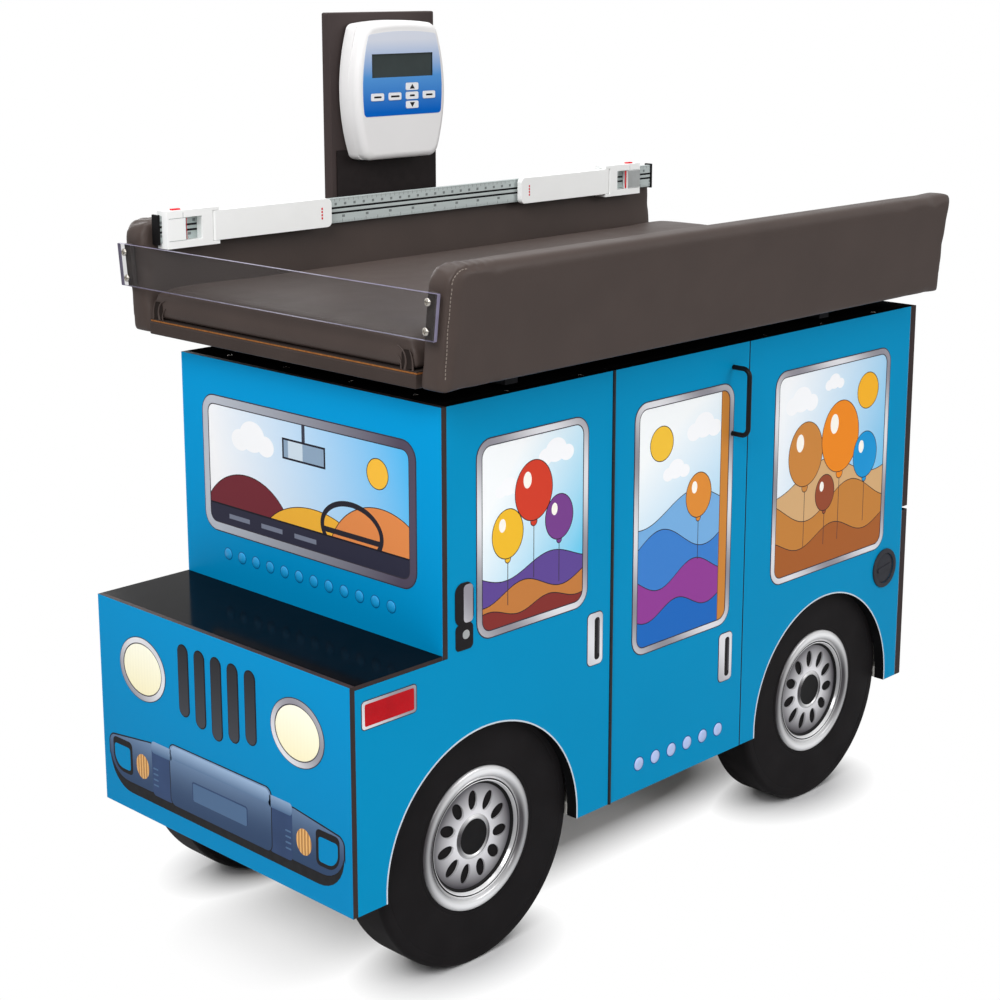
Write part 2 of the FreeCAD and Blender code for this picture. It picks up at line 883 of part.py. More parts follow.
def face_plate():
    return rounded(
        barrel(-face_low, face_high, face_inset, face_bow, display_face_y, display_face_y + face_thickness),
        display_corner / 2,
    )


def display_front():
    front, split = display_face_y, display_face_y + display_split
    shell = bevelled(housing(front, split), front, display_bevel)
    shell = shell.cut(hollow(front + display_wall, split))
    return opened(shell.cut(face_plate()), front, front + display_wall)


def circuit_y():
    return display_face_y + display_wall + screen_glass


def display_back():
    split, back = display_face_y + display_split, plate_face
    shell = housing(split, back).cut(hollow(split, back - display_wall))
    posts = []
    half = post_width / 2
    for side in (-1, 1):
        x = upright_x + side * (circuit_width / 2 - post_inset)
        for rise in (post_inset - circuit_low, circuit_high - post_inset):
            z = display_z + rise
            y0, y1 = circuit_y() + circuit_board, back - display_wall
            posts.append(box(x - half, x + half, y0, y1, z - half, z + half))
    return fuse([shell] + posts)


def display():
    save("display_front", display_front())
    save("display_back", display_back())
    save("display_face", opened(face_plate(), display_face_y, display_face_y + face_thickness))
    wall, board = display_face_y + display_wall, circuit_y()
    half = screen_width / 2 + screen_lap
    half_z = screen_height / 2 + screen_lap
    z = display_z + screen_z
    glass = box(upright_x - half, upright_x + half, wall, board, z - half_z, z + half_z)
    save("display_screen", glass)
    half = circuit_width / 2
    low, high = display_z - circuit_low, display_z + circuit_high
    back = board + circuit_board
    save("display_circuit", box(upright_x - half, upright_x + half, board, back, low, high))
    for name, x, z in key_places():
        save(name, key(x, z))


os.makedirs("parts", exist_ok=True)
cabinet()
wheels()
door()
drawers()
weighing()
tray()
measuring_rod()
upright()
display()
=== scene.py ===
import math

import bmesh
import bpy
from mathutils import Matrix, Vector


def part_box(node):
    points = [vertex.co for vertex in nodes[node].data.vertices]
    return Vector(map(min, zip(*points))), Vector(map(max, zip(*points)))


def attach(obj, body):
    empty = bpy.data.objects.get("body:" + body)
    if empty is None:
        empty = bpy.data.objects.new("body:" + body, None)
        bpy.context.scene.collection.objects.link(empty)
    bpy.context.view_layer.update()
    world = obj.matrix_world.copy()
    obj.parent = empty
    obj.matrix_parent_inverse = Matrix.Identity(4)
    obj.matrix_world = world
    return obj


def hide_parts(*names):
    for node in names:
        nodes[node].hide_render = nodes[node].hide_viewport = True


bl_info = {
    "name": "Bus scale table",
    "version": (1, 0, 0),
    "blender": (4, 5, 0),
    "location": "3D View > Sidebar > Scale Table",
    "description": "Dresses the packed infant scale table with its boards, prints, wheels, padding, rod "
                   "and display",
    "category": "Object",
}

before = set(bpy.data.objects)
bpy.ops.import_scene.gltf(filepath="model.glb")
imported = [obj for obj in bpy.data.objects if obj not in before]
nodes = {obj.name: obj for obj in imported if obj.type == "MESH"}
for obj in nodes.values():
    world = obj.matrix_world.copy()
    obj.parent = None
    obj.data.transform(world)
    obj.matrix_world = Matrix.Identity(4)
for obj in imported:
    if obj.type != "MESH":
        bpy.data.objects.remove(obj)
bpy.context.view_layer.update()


def centre_of(node):
    low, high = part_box(node)
    return (low + high) / 2


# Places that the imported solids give
hood_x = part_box("hood_front")[0].x
glass_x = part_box("windshield_panel")[0].x
near_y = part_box("near_front_side")[0].y
far_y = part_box("far_side")[1].y
middle_y = (near_y + far_y) / 2
axles = [centre_of(node).x for node in ("tyre_front_near", "tyre_rear_near")]

# Measures that several pieces share
AXLE_HEIGHT = 0.1865
ARCH_HEIGHT = 0.171
WHEEL_RADIUS = 0.188
BOLSTER_LEAN = math.tan(math.radians(6.5))
EVEN = (1, 1, 1)
WHITE = (1, 1, 1, 1)

# Turns that lay a flat piece on the door side, the bus front, the rod side or the rear
ON_NEAR = (math.radians(90), 0, 0)
ON_FRONT = (math.radians(90), 0, math.radians(-90))
ON_FAR = (math.radians(90), 0, math.radians(180))
ON_REAR = (math.radians(90), 0, math.radians(90))


def ink(red, green, blue):
    """Linear colour of a shade given in the usual 0 to 255 steps"""
    def linear(step):
        share = step / 255
        return share / 12.92 if share <= 0.04045 else ((share + 0.055) / 1.055) ** 2.4
    return (linear(red), linear(green), linear(blue), 1.0)


def dimmed(colour, share):
    return [min(1.0, channel * share) for channel in colour[:3]] + [1.0]


def shade(name, description, *steps):
    return bpy.props.FloatVectorProperty(
        name=name, description=description, subtype="COLOR", size=4, min=0, max=1, default=ink(*steps))


def amount(name, description, default, **kind):
    return bpy.props.FloatProperty(name=name, description=description, default=default, **kind)


def length(name, description, default):
    return amount(name, description, default, unit="LENGTH", precision=4)


class ScaleTableColours(bpy.types.PropertyGroup):
    side_blue: shade("Side blue", "Laminate of the sides, door and drawers", 0, 141, 191)
    front_blue: shade("Front blue", "Laminate of the hood front and windshield", 0, 152, 214)
    edging: shade("Edging", "Banding on the board edges", 52, 42, 41)
    black: shade("Black", "Laminate of the hood top", 9, 9, 11)
    upholstery: shade("Upholstery", "Vinyl of the tray", 68, 58, 54)
    tyre: shade("Tyre", "Rubber of the wheels", 25, 23, 24)
    rod: shade("Rod", "Plastic of the sliders and arms", 249, 250, 249)
    rail: shade("Rail", "Anodised rail", 188, 197, 196)
    housing: shade("Housing", "Plastic of the display", 234, 233, 233)
    face_low: shade("Face blue", "Lower end of the display face", 0, 98, 194)
    face_middle: shade("Face light blue", "Middle of the display face", 84, 150, 216)
    face_high: shade("Face white", "Upper end of the display face", 214, 219, 231)
    red: shade("Red", "Rod marks", 214, 30, 44)
    amber: shade("Amber", "Turn lamps", 206, 138, 62)
    bumper_low: shade("Bumper low", "Lower end of the bumper's steel blue", 44, 66, 98)
    bumper_high: shade("Bumper high", "Upper end of the bumper's steel blue", 130, 158, 192)


class ScaleTableSizes(bpy.types.PropertyGroup):
    board_edge: length("Board edge", "Softening of the board edges", 0.0006)
    trim_rise: length("Trim rise", "Height of the trims above the boards", 0.0009)
    frame_band: length("Frame band", "Width of the window frames", 0.009)
    frame_corner: length("Frame corner", "Corner radius of the window frames", 0.026)
    # The arch line is a painted highlight along the edge of each wheel arch
    arch_line: length("Arch line", "Width of the pale line at the wheel arches", 0.0022)
    tyre_shoulder: length("Tyre shoulder", "Rounding of the tyre shoulders", 0.008)
    pad_voxel: length("Padding voxel", "Grid of the padding before it swells", 0.006)
    pad_swell: length("Padding swell", "Most that the padding may swell", 0.007)
    housing_round: length("Housing round", "Rounding of the display's front", 0.011)


class ScaleTableStage(bpy.types.PropertyGroup):
    camera_place: bpy.props.FloatVectorProperty(
        name="Camera place", description="Where the camera stands", subtype="TRANSLATION",
        unit="LENGTH", size=3, default=(-2.2092, -2.0638, 1.37))
    camera_yaw: amount("Camera yaw", "Turn of the camera from +Y towards +X", math.radians(45.757),
                       subtype="ANGLE")
    camera_pitch: amount("Camera pitch", "Tilt of the camera below the horizon", math.radians(12.295),
                         subtype="ANGLE")
    camera_lens: amount("Camera lens", "Focal length on a 36 mm sensor", 69.777, unit="CAMERA")
    camera_shift: amount("Camera shift", "Upright shift of the lens", -0.1)
    key_power: amount("Key power", "Power of the large lamp on the left", 117, unit="POWER")
    fill_power: amount("Fill power", "Power of the lamp on the right", 58, unit="POWER")
    top_power: amount("Top power", "Power of the lamp above", 88, unit="POWER")
    back_power: amount("Back power", "Power of the lamp behind", 46, unit="POWER")
    sky_strength: amount("Sky strength", "Light from all round", 0.3)


def colours():
    return bpy.context.scene.scale_table_colours


def sizes():
    return bpy.context.scene.scale_table_sizes


def hue(colour):
    """Colour from its steps, from its property's name, or from a share of such a property"""
    if isinstance(colour, str):
        return getattr(colours(), colour)[:]
    if isinstance(colour[0], str):
        return dimmed(hue(colour[0]), colour[1])
    return ink(*colour)


class Finish:
    """Nodes of one finish, wired to a Principled shader"""
    SOCKETS = {"colour": "Base Color", "metal": "Metallic", "rough": "Roughness", "coat": "Coat Weight",
               "clear": "Transmission Weight", "ior": "IOR", "alpha": "Alpha", "gloss": "Specular IOR Level"}

    def __init__(self, name):
        self.material = bpy.data.materials.new(name)
        self.material.use_nodes = True
        self.tree = self.material.node_tree
        self.shader = self.tree.nodes["Principled BSDF"]
        self.set(gloss=0.1)

    def add(self, kind, **settings):
        node = self.tree.nodes.new("ShaderNode" + kind)
        for key, value in settings.items():
            setattr(node, key, value)
        return node

    def feed(self, socket, value):
        if isinstance(value, bpy.types.NodeSocket):
            self.tree.links.new(value, socket)
        else:
            socket.default_value = value

    def place(self):
        return self.add("TexCoord").outputs["Object"]

    def axes(self):
        parts = self.add("SeparateXYZ")
        self.feed(parts.inputs[0], self.place())
        return parts.outputs

    def math(self, operation, *values):
        node = self.add("Math", operation=operation)
        for socket, value in zip(node.inputs, values):
            self.feed(socket, value)
        return node.outputs[0]

    def wave(self, value, rate, start=0.0):
        return self.math("SINE", self.math("MULTIPLY_ADD", value, rate, start))

    def mix(self, share, first, second):
        node = self.add("Mix", data_type="RGBA")
        for index, value in ((0, share), (6, first), (7, second)):
            self.feed(node.inputs[index], value)
        return node.outputs[2]

    def ramp(self, value, low, high):
        node = self.add("MapRange")
        for socket, setting in zip(node.inputs, (value, low, high)):
            self.feed(socket, setting)
        return node.outputs[0]

    def noise(self, scale, detail=3, stretch=EVEN):
        mapping = self.add("Mapping")
        self.feed(mapping.inputs[0], self.place())
        mapping.inputs[3].default_value = stretch
        node = self.add("TexNoise")
        for name, value in (("Vector", mapping.outputs[0]), ("Scale", scale), ("Detail", detail)):
            self.feed(node.inputs[name], value)
        return node.outputs[0]

    def cells(self, scale):
        node = self.add("TexVoronoi")
        self.feed(node.inputs["Vector"], self.place())
        node.inputs["Scale"].default_value = scale
        return node.outputs[0]

    def mottled(self, colour, change, scale, stretch=EVEN):
        share = self.ramp(self.noise(scale, 3, stretch), 0.3, 0.7)
        return self.mix(share, dimmed(colour, 1 - change), dimmed(colour, 1 + change))

    def worn(self, scale, detail, low, high, swing, least):
        """Roughness that drifts over the surface"""
        drift = self.ramp(self.noise(scale, detail), low, high)
        self.set(rough=self.math("MULTIPLY_ADD", drift, swing, least))

    def height(self, value, strength, depth):
        """Bump of a depth in millimetres"""
        node = self.add("Bump")
        for name, setting in (("Height", value), ("Strength", strength), ("Distance", depth / 1000)):
            self.feed(node.inputs[name], setting)
        self.feed(self.shader.inputs["Normal"], node.outputs[0])

    def set(self, **values):
        for key, value in values.items():
            self.feed(self.shader.inputs[self.SOCKETS[key]], value)
        return self.material


class PrintedPicture(Finish):
    """Flat layers of ink, laid out in metres to the right of and above the picture's middle"""

    def __init__(self, name, middle, axis, way):
        super().__init__(name)
        places = self.axes()
        self.right = self.math("MULTIPLY_ADD", places[axis], way, -way * middle[axis])
        self.up = self.math("SUBTRACT", places[2], middle[2])
        self.colour = WHITE

    def shares(self, right, up, half_right, half_up):
        return (self.math("MULTIPLY_ADD", self.right, 1 / half_right, -right / half_right),
                self.math("MULTIPLY_ADD", self.up, 1 / half_up, -up / half_up))

    def lay(self, mask, colour):
        self.colour = self.mix(mask, self.colour, ink(*colour))

    def blended(self, first, second, slope_right, slope_up, low, high):
        slope = self.math("MULTIPLY", self.right, slope_right)
        slope = self.math("MULTIPLY_ADD", self.up, slope_up, slope)
        self.colour = self.mix(self.ramp(slope, low, high), ink(*first), ink(*second))

    def oval(self, *measures):
        across, along = self.shares(*measures)
        reach = self.math("MULTIPLY_ADD", across, across, self.math("MULTIPLY", along, along))
        return self.math("LESS_THAN", reach, 1.0)

    def bar(self, right, up, half_right, half_up, colour):
        shares = self.shares(right, up, half_right, half_up)
        across, along = (self.math("ABSOLUTE", share) for share in shares)
        self.lay(self.math("LESS_THAN", self.math("MAXIMUM", across, along), 1.0), colour)

    def hoop(self, right, up, half_right, half_up, band, colour):
        hole = self.oval(right, up, half_right - band, half_up - band)
        self.lay(self.math("SUBTRACT", self.oval(right, up, half_right, half_up), hole), colour)

    def hill(self, level, swing, waves, start, colour):
        for top, tone in ((level + 0.0014, (40, 34, 40)), (level, colour)):
            line = self.math("MULTIPLY_ADD", self.wave(self.right, waves, start), swing, top)
            self.lay(self.math("LESS_THAN", self.up, line), tone)

    def ball(self, right, up, half_right, half_up, colour):
        for line, tone in ((0.0013, (40, 30, 34)), (0, colour)):
            self.lay(self.oval(right, up, half_right + line, half_up + line), tone)

    def balloon(self, right, up, half, colour):
        self.bar(right, up - half * 2.2, 0.0007, half * 1.2, (60, 50, 54))
        self.ball(right, up - half * 1.2, half * 0.16, half * 0.16, colour)
        self.ball(right, up, half, half * 1.15, colour)
        self.lay(self.oval(right - half * 0.35, up + half * 0.45, half * 0.22, half * 0.32), (255, 250, 240))

    def cloud(self, right, up, half):
        for across, along, size in ((-0.7, 0, 0.5), (0, 0.22, 0.72), (0.75, -0.02, 0.48)):
            puff = self.oval(right + across * half, up + along * half, size * half, size * half * 0.8)
            self.lay(puff, (252, 253, 255))

    def printed(self):
        self.height(self.noise(900, 2), 0.03, 0.2)
        return self.set(colour=self.colour, rough=0.34)


# Mottled finishes: colour, mottling and its scale, grain, its detail (none for cells), strength and depth in
# millimetres, roughness, and what else the shader is given
PLAIN = {
    "side_laminate": ("side_blue", 0.02, 4, 700, 2, 0.04, 0.2, 0.4, {"gloss": 0.04}),
    "board_edging": ("edging", 0.16, 60, 500, 3, 0.1, 0.2, 0.5,
                     {"run": (1, 1, 0.15), "grain_run": (1, 1, 0.1)}),
    "lid_black": ((19, 19, 20), 0.2, 30, 900, 3, 0.05, 0.2, 0.6, {"gloss": 0.0}),
    "melamine": ((206, 203, 197), 0.03, 25, 800, 2, 0.05, 0.2, 0.42),
    "vinyl_shaded": (("upholstery", 0.78), 0.08, 12, 420, 0, 0.2, 0.5, 0.5),
    "tuck_shade": (("upholstery", 0.3), 0.15, 40, 420, 0, 0.2, 0.5, 0.6, {"gloss": 0.05}),
    "board_wrap": ((64, 55, 54), 0.06, 8, 500, 0, 0.15, 0.4, 0.46),
    "stitch_thread": ((136, 126, 118), 0.15, 700, 3000, 2, 0.4, 0.2, 0.6, {"grain_run": (1, 1, 3)}),
    "hub_black": ((18, 17, 18), 0.2, 60, 900, 2, 0.08, 0.2, 0.4),
    "powder_black": ((22, 22, 24), 0.15, 200, 1600, 3, 0.14, 0.2, 0.36),
    "plate_black": ((33, 28, 28), 0.12, 80, 1200, 3, 0.16, 0.2, 0.55),
    "hinge_steel": ((52, 50, 52), 0.1, 90, 700, 3, 0.08, 0.2, 0.38, {"metal": 0.8, "grain_run": (1, 1, 0.1)}),
    "screw_steel": ((176, 171, 163), 0.08, 300, 2500, 2, 0.08, 0.1, 0.2, {"metal": 1.0}),
    "anodised": ("rail", 0.05, 120, 900, 3, 0.08, 0.2, 0.4,
                 {"metal": 0.35, "run": (0.05, 1, 1), "grain_run": (0.05, 1, 1)}),
    "load_black": ((44, 44, 47), 0.12, 60, 900, 3, 0.08, 0.2, 0.45, {"metal": 0.4}),
    "plate_grey": ((166, 169, 169), 0.05, 90, 900, 3, 0.06, 0.1, 0.4, {"grain_run": (0.1, 1, 1)}),
    "groove_black": ((30, 30, 32), 0.2, 90, 1200, 2, 0.06, 0.2, 0.55),
    "acrylic_edge": ((128, 122, 146), 0.1, 50, 400, 3, 0.1, 0.3, 0.25, {"clear": 0.2}),
    "dark_strip": ((60, 54, 52), 0.1, 70, 900, 3, 0.12, 0.2, 0.5),
    "rod_plastic": ("rod", 0.015, 20, 1500, 2, 0.05, 0.1, 0.36),
    "seam_grey": ((168, 172, 172), 0.05, 80, 1500, 2, 0.05, 0.1, 0.45),
    "red_mark": ("red", 0.08, 60, 1800, 2, 0.05, 0.1, 0.35),
    "housing_plastic": ("housing", 0.012, 15, 1400, 3, 0.08, 0.2, 0.38),
    "screen_glass": ((58, 66, 66), 0.05, 40, 300, 2, 0.02, 0.1, 0.16, {"coat": 0.3}),
    "circuit_green": ((24, 92, 52), 0.15, 200, 900, 3, 0.2, 0.3, 0.4),
    "key_white": ((238, 239, 242), 0.015, 60, 1500, 2, 0.04, 0.1, 0.35),
    "key_ink": ((26, 24, 26), 0.1, 200, 1500, 2, 0.03, 0.1, 0.5),
    "dark_line": ((54, 50, 60), 0.1, 90, 1500, 2, 0.03, 0.1, 0.5),
    # Painted highlight along the edges of the wheel arches
    "pale_line": ((204, 214, 222), 0.06, 40, 1500, 2, 0.04, 0.1, 0.4),
    "red_lens": ((184, 12, 24), 0.25, 14, 260, 0, 0.3, 0.8, 0.25, {"gloss": 0.1}),
    "bumper_shade": ((48, 68, 104), 0.15, 12, 1000, 2, 0.04, 0.1, 0.4),
    "front_rivet": ((20, 158, 220), 0.06, 50, 900, 2, 0.04, 0.1, 0.3, {"gloss": 0.5}),
    "rivet_seat": ((0, 92, 150), 0.08, 50, 900, 2, 0.04, 0.1, 0.4),
    "pearl_rivet": ((176, 194, 236), 0.1, 60, 900, 2, 0.04, 0.1, 0.24, {"gloss": 0.5}),
    "cap_rubber": ((46, 47, 53), 0.12, 60, 900, 2, 0.08, 0.2, 0.4),
}

# Finishes that fade along an axis: axis, start, end, both colours, grain, its depth in millimetres, roughness
FADED = {
    # The front laminate grows darker towards the bottom as painted shade
    "front_laminate": (2, 0.25, 0.75, ("front_blue", 0.74), "front_blue", 700, 0.2, 0.4, {"gloss": 0.04}),
    "glass_trim": (1, middle_y + 0.2, middle_y - 0.2, (186, 192, 202), (82, 74, 92), 1400, 0.1, 0.36),
    "bumper_light": (2, 0.268, 0.294, (76, 104, 138), (158, 184, 214), 1000, 0.1, 0.34),
    "grille_dark": (2, 0.33, 0.455, (64, 66, 72), (36, 36, 40), 900, 0.1, 0.4),
}


def plain(name, colour, change, scale, grain, detail, strength, depth, rough, others=None):
    made, others = Finish(name), others or {}
    rest = {key: value for key, value in others.items() if key in made.SOCKETS}
    bumps = made.noise(grain, detail, others.get("grain_run", EVEN)) if detail else made.cells(grain)
    made.height(bumps, strength, depth)
    whole = made.mottled(hue(colour), change, scale, others.get("run", EVEN))
    return made.set(colour=whole, rough=rough, **rest)


def faded(name, axis, start, end, first, second, grain, depth, rough, others=None):
    made = Finish(name)
    made.height(made.noise(grain, 2), 0.04, depth)
    whole = made.mix(made.ramp(made.axes()[axis], start, end), hue(first), hue(second))
    return made.set(colour=whole, rough=rough, **(others or {}))


def black_laminate():
    made = Finish("black_laminate")
    made.worn(60, 4, 0.1, 0.9, 0.05, 0.09)
    made.height(made.noise(900, 2), 0.01, 0.1)
    return made.set(colour=made.mottled(hue("black"), 0.2, 30), gloss=0.02)


def plywood():
    """Plies on the edge, dark where the cover laps over it"""
    made = Finish("plywood")
    rise = made.axes()[2]
    grain = made.noise(30, 5, (1, 8, 1))
    base = made.mix(made.ramp(made.wave(rise, 4200), -0.6, 0.6), ink(146, 92, 46), ink(176, 118, 62))
    wood = made.mix(made.ramp(grain, 0.35, 0.75), base, ink(124, 74, 36))
    lapped = made.math("GREATER_THAN", rise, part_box("pad_board")[0].z + 0.0022)
    made.height(grain, 0.2, 0.4)
    return made.set(colour=made.mix(lapped, wood, ink(50, 42, 39)), rough=0.62)


def vinyl():
    made = Finish("vinyl")
    made.height(made.math("MULTIPLY_ADD", made.noise(160, 4), 0.5, made.cells(420)), 0.13, 0.5)
    made.worn(14, 3, 0.2, 0.8, 0.12, 0.4)
    return made.set(colour=made.mottled(hue("upholstery"), 0.07, 9), gloss=0.16)


def rubber():
    made = Finish("rubber")
    made.height(made.noise(260, 5), 0.12, 0.5)
    made.worn(20, 4, 0.2, 0.8, 0.14, 0.5)
    return made.set(colour=made.mottled(hue("tyre"), 0.14, 18), gloss=0.06)


def about_axle(made):
    """Distance from the nearer axle and angle round it"""
    front, rear = axles
    places = made.axes()
    behind = made.math("GREATER_THAN", places[0], (front + rear) / 2)
    along = made.math("SUBTRACT", places[0], made.math("MULTIPLY_ADD", behind, rear - front, front))
    rise = made.math("SUBTRACT", places[2], AXLE_HEIGHT)
    reach = made.math("SQRT", made.math("MULTIPLY_ADD", along, along, made.math("MULTIPLY", rise, rise)))
    return reach, made.math("ARCTAN2", rise, along)


def chrome():
    made = Finish("chrome")
    reach, turn = about_axle(made)
    # Painted reflections: pale and dark rings across the rim, and a sweep round the axle that is bright above
    # and below it and dark at its sides
    rings = made.math("MULTIPLY_ADD", made.wave(reach, 420, -1.68), 0.55, made.wave(turn, 2, -1.3))
    made.worn(120, 4, 0.2, 0.9, 0.08, 0.16)
    whole = made.mix(made.ramp(rings, -1.4, 1.4), ink(66, 63, 66), ink(246, 246, 247))
    return made.set(colour=whole, metal=0.2, gloss=0.5)


def satin_silver():
    made = Finish("satin_silver")
    reach, turn = about_axle(made)
    # Painted shade and reflection: pale by the hub and darkening out towards the rim, with a slight wave
    # round the axle
    painted_dish_shade = made.ramp(made.math("MULTIPLY_ADD", made.wave(turn, 3, 1), 0.004, reach), 0.034, 0.079)
    made.height(made.noise(1500, 2), 0.05, 0.2)
    return made.set(colour=made.mix(painted_dish_shade, ink(232, 231, 234), ink(72, 69, 74)), metal=0.1, rough=0.4)


def rail_scale():
    """Rail with metric marks above and inch marks below, worked out along its length"""
    made = Finish("rail_scale")
    low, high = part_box("measuring_rail")
    tall = high.z - low.z
    places = made.axes()
    along, rise = (made.math("SUBTRACT", places[axis], low[axis]) for axis in (0, 2))
    colour = made.mottled(hue("rail"), 0.05, 120, (0.05, 1, 1))
    # Pitch and width of each row's marks, and the row's bottom and top
    for pitch, width, bottom, top in (
            (0.002, 0.0005, tall - 0.0032, tall - 0.0008), (0.010, 0.0009, tall - 0.0055, tall - 0.0008),
            (0.0254, 0.0010, 0.0008, 0.0060), (0.003175, 0.0005, 0.0008, 0.0034),
            (0.020, 0.0050, tall - 0.0118, tall - 0.0076), (0.0508, 0.0060, 0.0085, 0.0125)):
        step = made.math("FRACT", made.math("DIVIDE", along, pitch))
        row = made.math("MULTIPLY", made.math("GREATER_THAN", rise, bottom),
                        made.math("LESS_THAN", rise, top))
        mask = made.math("MULTIPLY", made.math("LESS_THAN", step, width / pitch), row)
        colour = made.mix(made.math("MULTIPLY", mask, 0.62), colour, ink(44, 48, 50))
    made.height(made.noise(900, 3, (0.05, 1, 1)), 0.06, 0.2)
    return made.set(colour=colour, metal=0.25, rough=0.42)


def clear_acrylic():
    made = Finish("clear_acrylic")
    made.worn(90, 3, 0.3, 0.9, 0.02, 0.06)
    return made.set(colour=ink(74, 73, 74), alpha=0.18, gloss=0.5)


def lens_clear():
    made = Finish("lens_clear")
    made.worn(200, 2, 0.3, 0.9, 0.03, 0.02)
    return made.set(colour=ink(248, 250, 250), clear=1.0, ior=1.1)


def face_film():
    made = Finish("face_film")
    low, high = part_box("display_face")
    rise = made.axes()[2]
    split, top = (low.z + (high.z - low.z) * share for share in (0.46, 0.9))
    lower = made.mix(made.ramp(rise, low.z + 0.006, split), hue("face_low"), hue("face_middle"))
    made.height(made.noise(1600, 2), 0.03, 0.1)
    whole = made.mix(made.ramp(rise, split, top), lower, hue("face_high"))
    return made.set(colour=whole, rough=0.4, gloss=0.05)


def silver_trim():
    """Bright trim whose tone rolls from pale to grey along its run in painted reflection bands, as on
    polished metal
    """
    made = Finish("silver_trim")
    places = made.axes()
    run = made.math("ADD", places[0], made.math("SUBTRACT", places[2], places[1]))
    made.height(made.noise(1400, 2), 0.04, 0.1)
    painted_reflection = made.ramp(made.wave(run, 27), -1, 1)
    return made.set(colour=made.mix(painted_reflection, ink(146, 144, 152), ink(226, 226, 230)), rough=0.34)


def lamp_cream():
    made = Finish("lamp_cream")
    places = made.axes()
    glow = made.mix(made.ramp(places[2], 0.35, 0.43), ink(250, 240, 196), ink(255, 253, 232))
    made.height(made.wave(places[1], 900), 0.12, 0.6)
    return made.set(colour=glow, rough=0.2, gloss=0.3)


def amber_lens():
    made = Finish("amber_lens")
    ribs = made.wave(made.axes()[1], 1000)
    made.height(ribs, 0.3, 0.6)
    whole = made.mix(made.ramp(ribs, -1, 1), hue(("amber", 0.6)), ink(232, 178, 104))
    return made.set(colour=whole, rough=0.26, gloss=0.3)


def bumper_steel():
    made = Finish("bumper_steel")
    places = made.axes()
    rise = made.math("MULTIPLY_ADD", made.wave(places[1], 11, 0.9), 0.006, places[2])
    tone = made.math("POWER", made.ramp(rise, 0.2, 0.3), 2.4)
    made.height(made.noise(1000, 2), 0.04, 0.1)
    return made.set(colour=made.mix(tone, hue("bumper_low"), hue("bumper_high")), rough=0.34)


SPECIAL = {maker.__name__: maker for maker in (
    black_laminate, plywood, vinyl, rubber, chrome, satin_silver, rail_scale, clear_acrylic, lens_clear,
    face_film, silver_trim, lamp_cream, amber_lens, bumper_steel)}
finishes = {}


def finish(name):
    if name not in finishes:
        if name in PLAIN:
            finishes[name] = plain(name, *PLAIN[name])
        elif name in FADED:
            finishes[name] = faded(name, *FADED[name])
        else:
            finishes[name] = SPECIAL[name]()
    return finishes[name]


# Hand tools
def only(*pieces):
    bpy.ops.object.select_all(action="DESELECT")
    for piece in pieces:
        piece.select_set(True)
    bpy.context.view_layer.objects.active = pieces[0]


def primitive(kind, **settings):
    bpy.ops.object.select_all(action="DESELECT")
    getattr(bpy.ops.mesh, "primitive_%s_add" % kind)(**settings)
    return bpy.context.object


def open_mesh(piece):
    only(piece)
    bpy.ops.object.mode_set(mode="EDIT")
    bpy.ops.mesh.select_mode(type="VERT")
    bpy.ops.mesh.select_all(action="SELECT")


def close_mesh():
    bpy.ops.object.mode_set(mode="OBJECT")


def seal():
    """Turns the open mesh's faces outward and closes it"""
    bpy.ops.mesh.select_all(action="SELECT")
    bpy.ops.mesh.normals_make_consistent(inside=False)
    close_mesh()


def pick(piece, kind, test):
    """Picks the points, edges or faces of the open mesh whose corners pass a test"""
    bpy.ops.mesh.select_mode(type=kind)
    bpy.ops.mesh.select_all(action="DESELECT")
    mesh = bmesh.from_edit_mesh(piece.data)
    for item in {"VERT": mesh.verts, "EDGE": mesh.edges, "FACE": mesh.faces}[kind]:
        corners = [item.co] if kind == "VERT" else [point.co for point in item.verts]
        item.select_set(test(*corners))
    mesh.select_flush_mode()
    bmesh.update_edit_mesh(piece.data)


def apply_modifier(piece, kind, **settings):
    only(piece)
    modifier = piece.modifiers.new(kind.title(), kind)
    for key, value in settings.items():
        setattr(modifier, key, value)
    bpy.ops.object.modifier_apply(modifier=modifier.name)


def soften(piece, width, segments=2, angle=30):
    apply_modifier(piece, "BEVEL", width=width, segments=segments, limit_method="ANGLE",
                   angle_limit=math.radians(angle))


def smooth(piece, angle):
    """Smooths the shading up to an angle, with flat faces kept flat beside small bevels"""
    only(piece)
    bpy.ops.object.shade_smooth_by_angle(angle=math.radians(angle))
    if angle < 60:
        apply_modifier(piece, "WEIGHTED_NORMAL", keep_sharp=True)


def raise_by(height):
    bpy.ops.mesh.extrude_region_move(TRANSFORM_OT_translate={"value": (0, 0, height)})


def freeze(piece):
    only(piece)
    bpy.ops.object.transform_apply(location=True, rotation=True, scale=True)


def cut(piece, cutter):
    freeze(cutter)
    apply_modifier(piece, "BOOLEAN", object=cutter, operation="DIFFERENCE", solver="EXACT")
    bpy.data.objects.remove(cutter)


def weld(piece):
    open_mesh(piece)
    bpy.ops.mesh.remove_doubles(threshold=0.00001)
    seal()


def copy_node(node):
    piece = bpy.data.objects.new(node + "_dressed", nodes[node].data.copy())
    bpy.context.scene.collection.objects.link(piece)
    weld(piece)
    open_mesh(piece)
    bpy.ops.mesh.dissolve_limited(angle_limit=math.radians(0.5))
    close_mesh()
    return piece


def duplicate(piece):
    only(piece)
    bpy.ops.object.duplicate(linked=False)
    return bpy.context.object


def lay_on(piece, turn, place):
    piece.rotation_euler = turn
    piece.location = place
    freeze(piece)


def coat(piece, names, choose=None):
    piece.data.materials.clear()
    for name in names:
        piece.data.materials.append(name if isinstance(name, bpy.types.Material) else finish(name))
    if choose:
        for face in piece.data.polygons:
            face.material_index = choose(face.normal, face.center)


def dress(piece, name, body, names, choose=None, angle=35):
    piece.name = name
    piece.data.name = name
    coat(piece, names, choose)
    smooth(piece, angle)
    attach(piece, body)


def fit(piece, turn, place, name, body, shown):
    lay_on(piece, turn, place)
    dress(piece, name, body, (shown,))


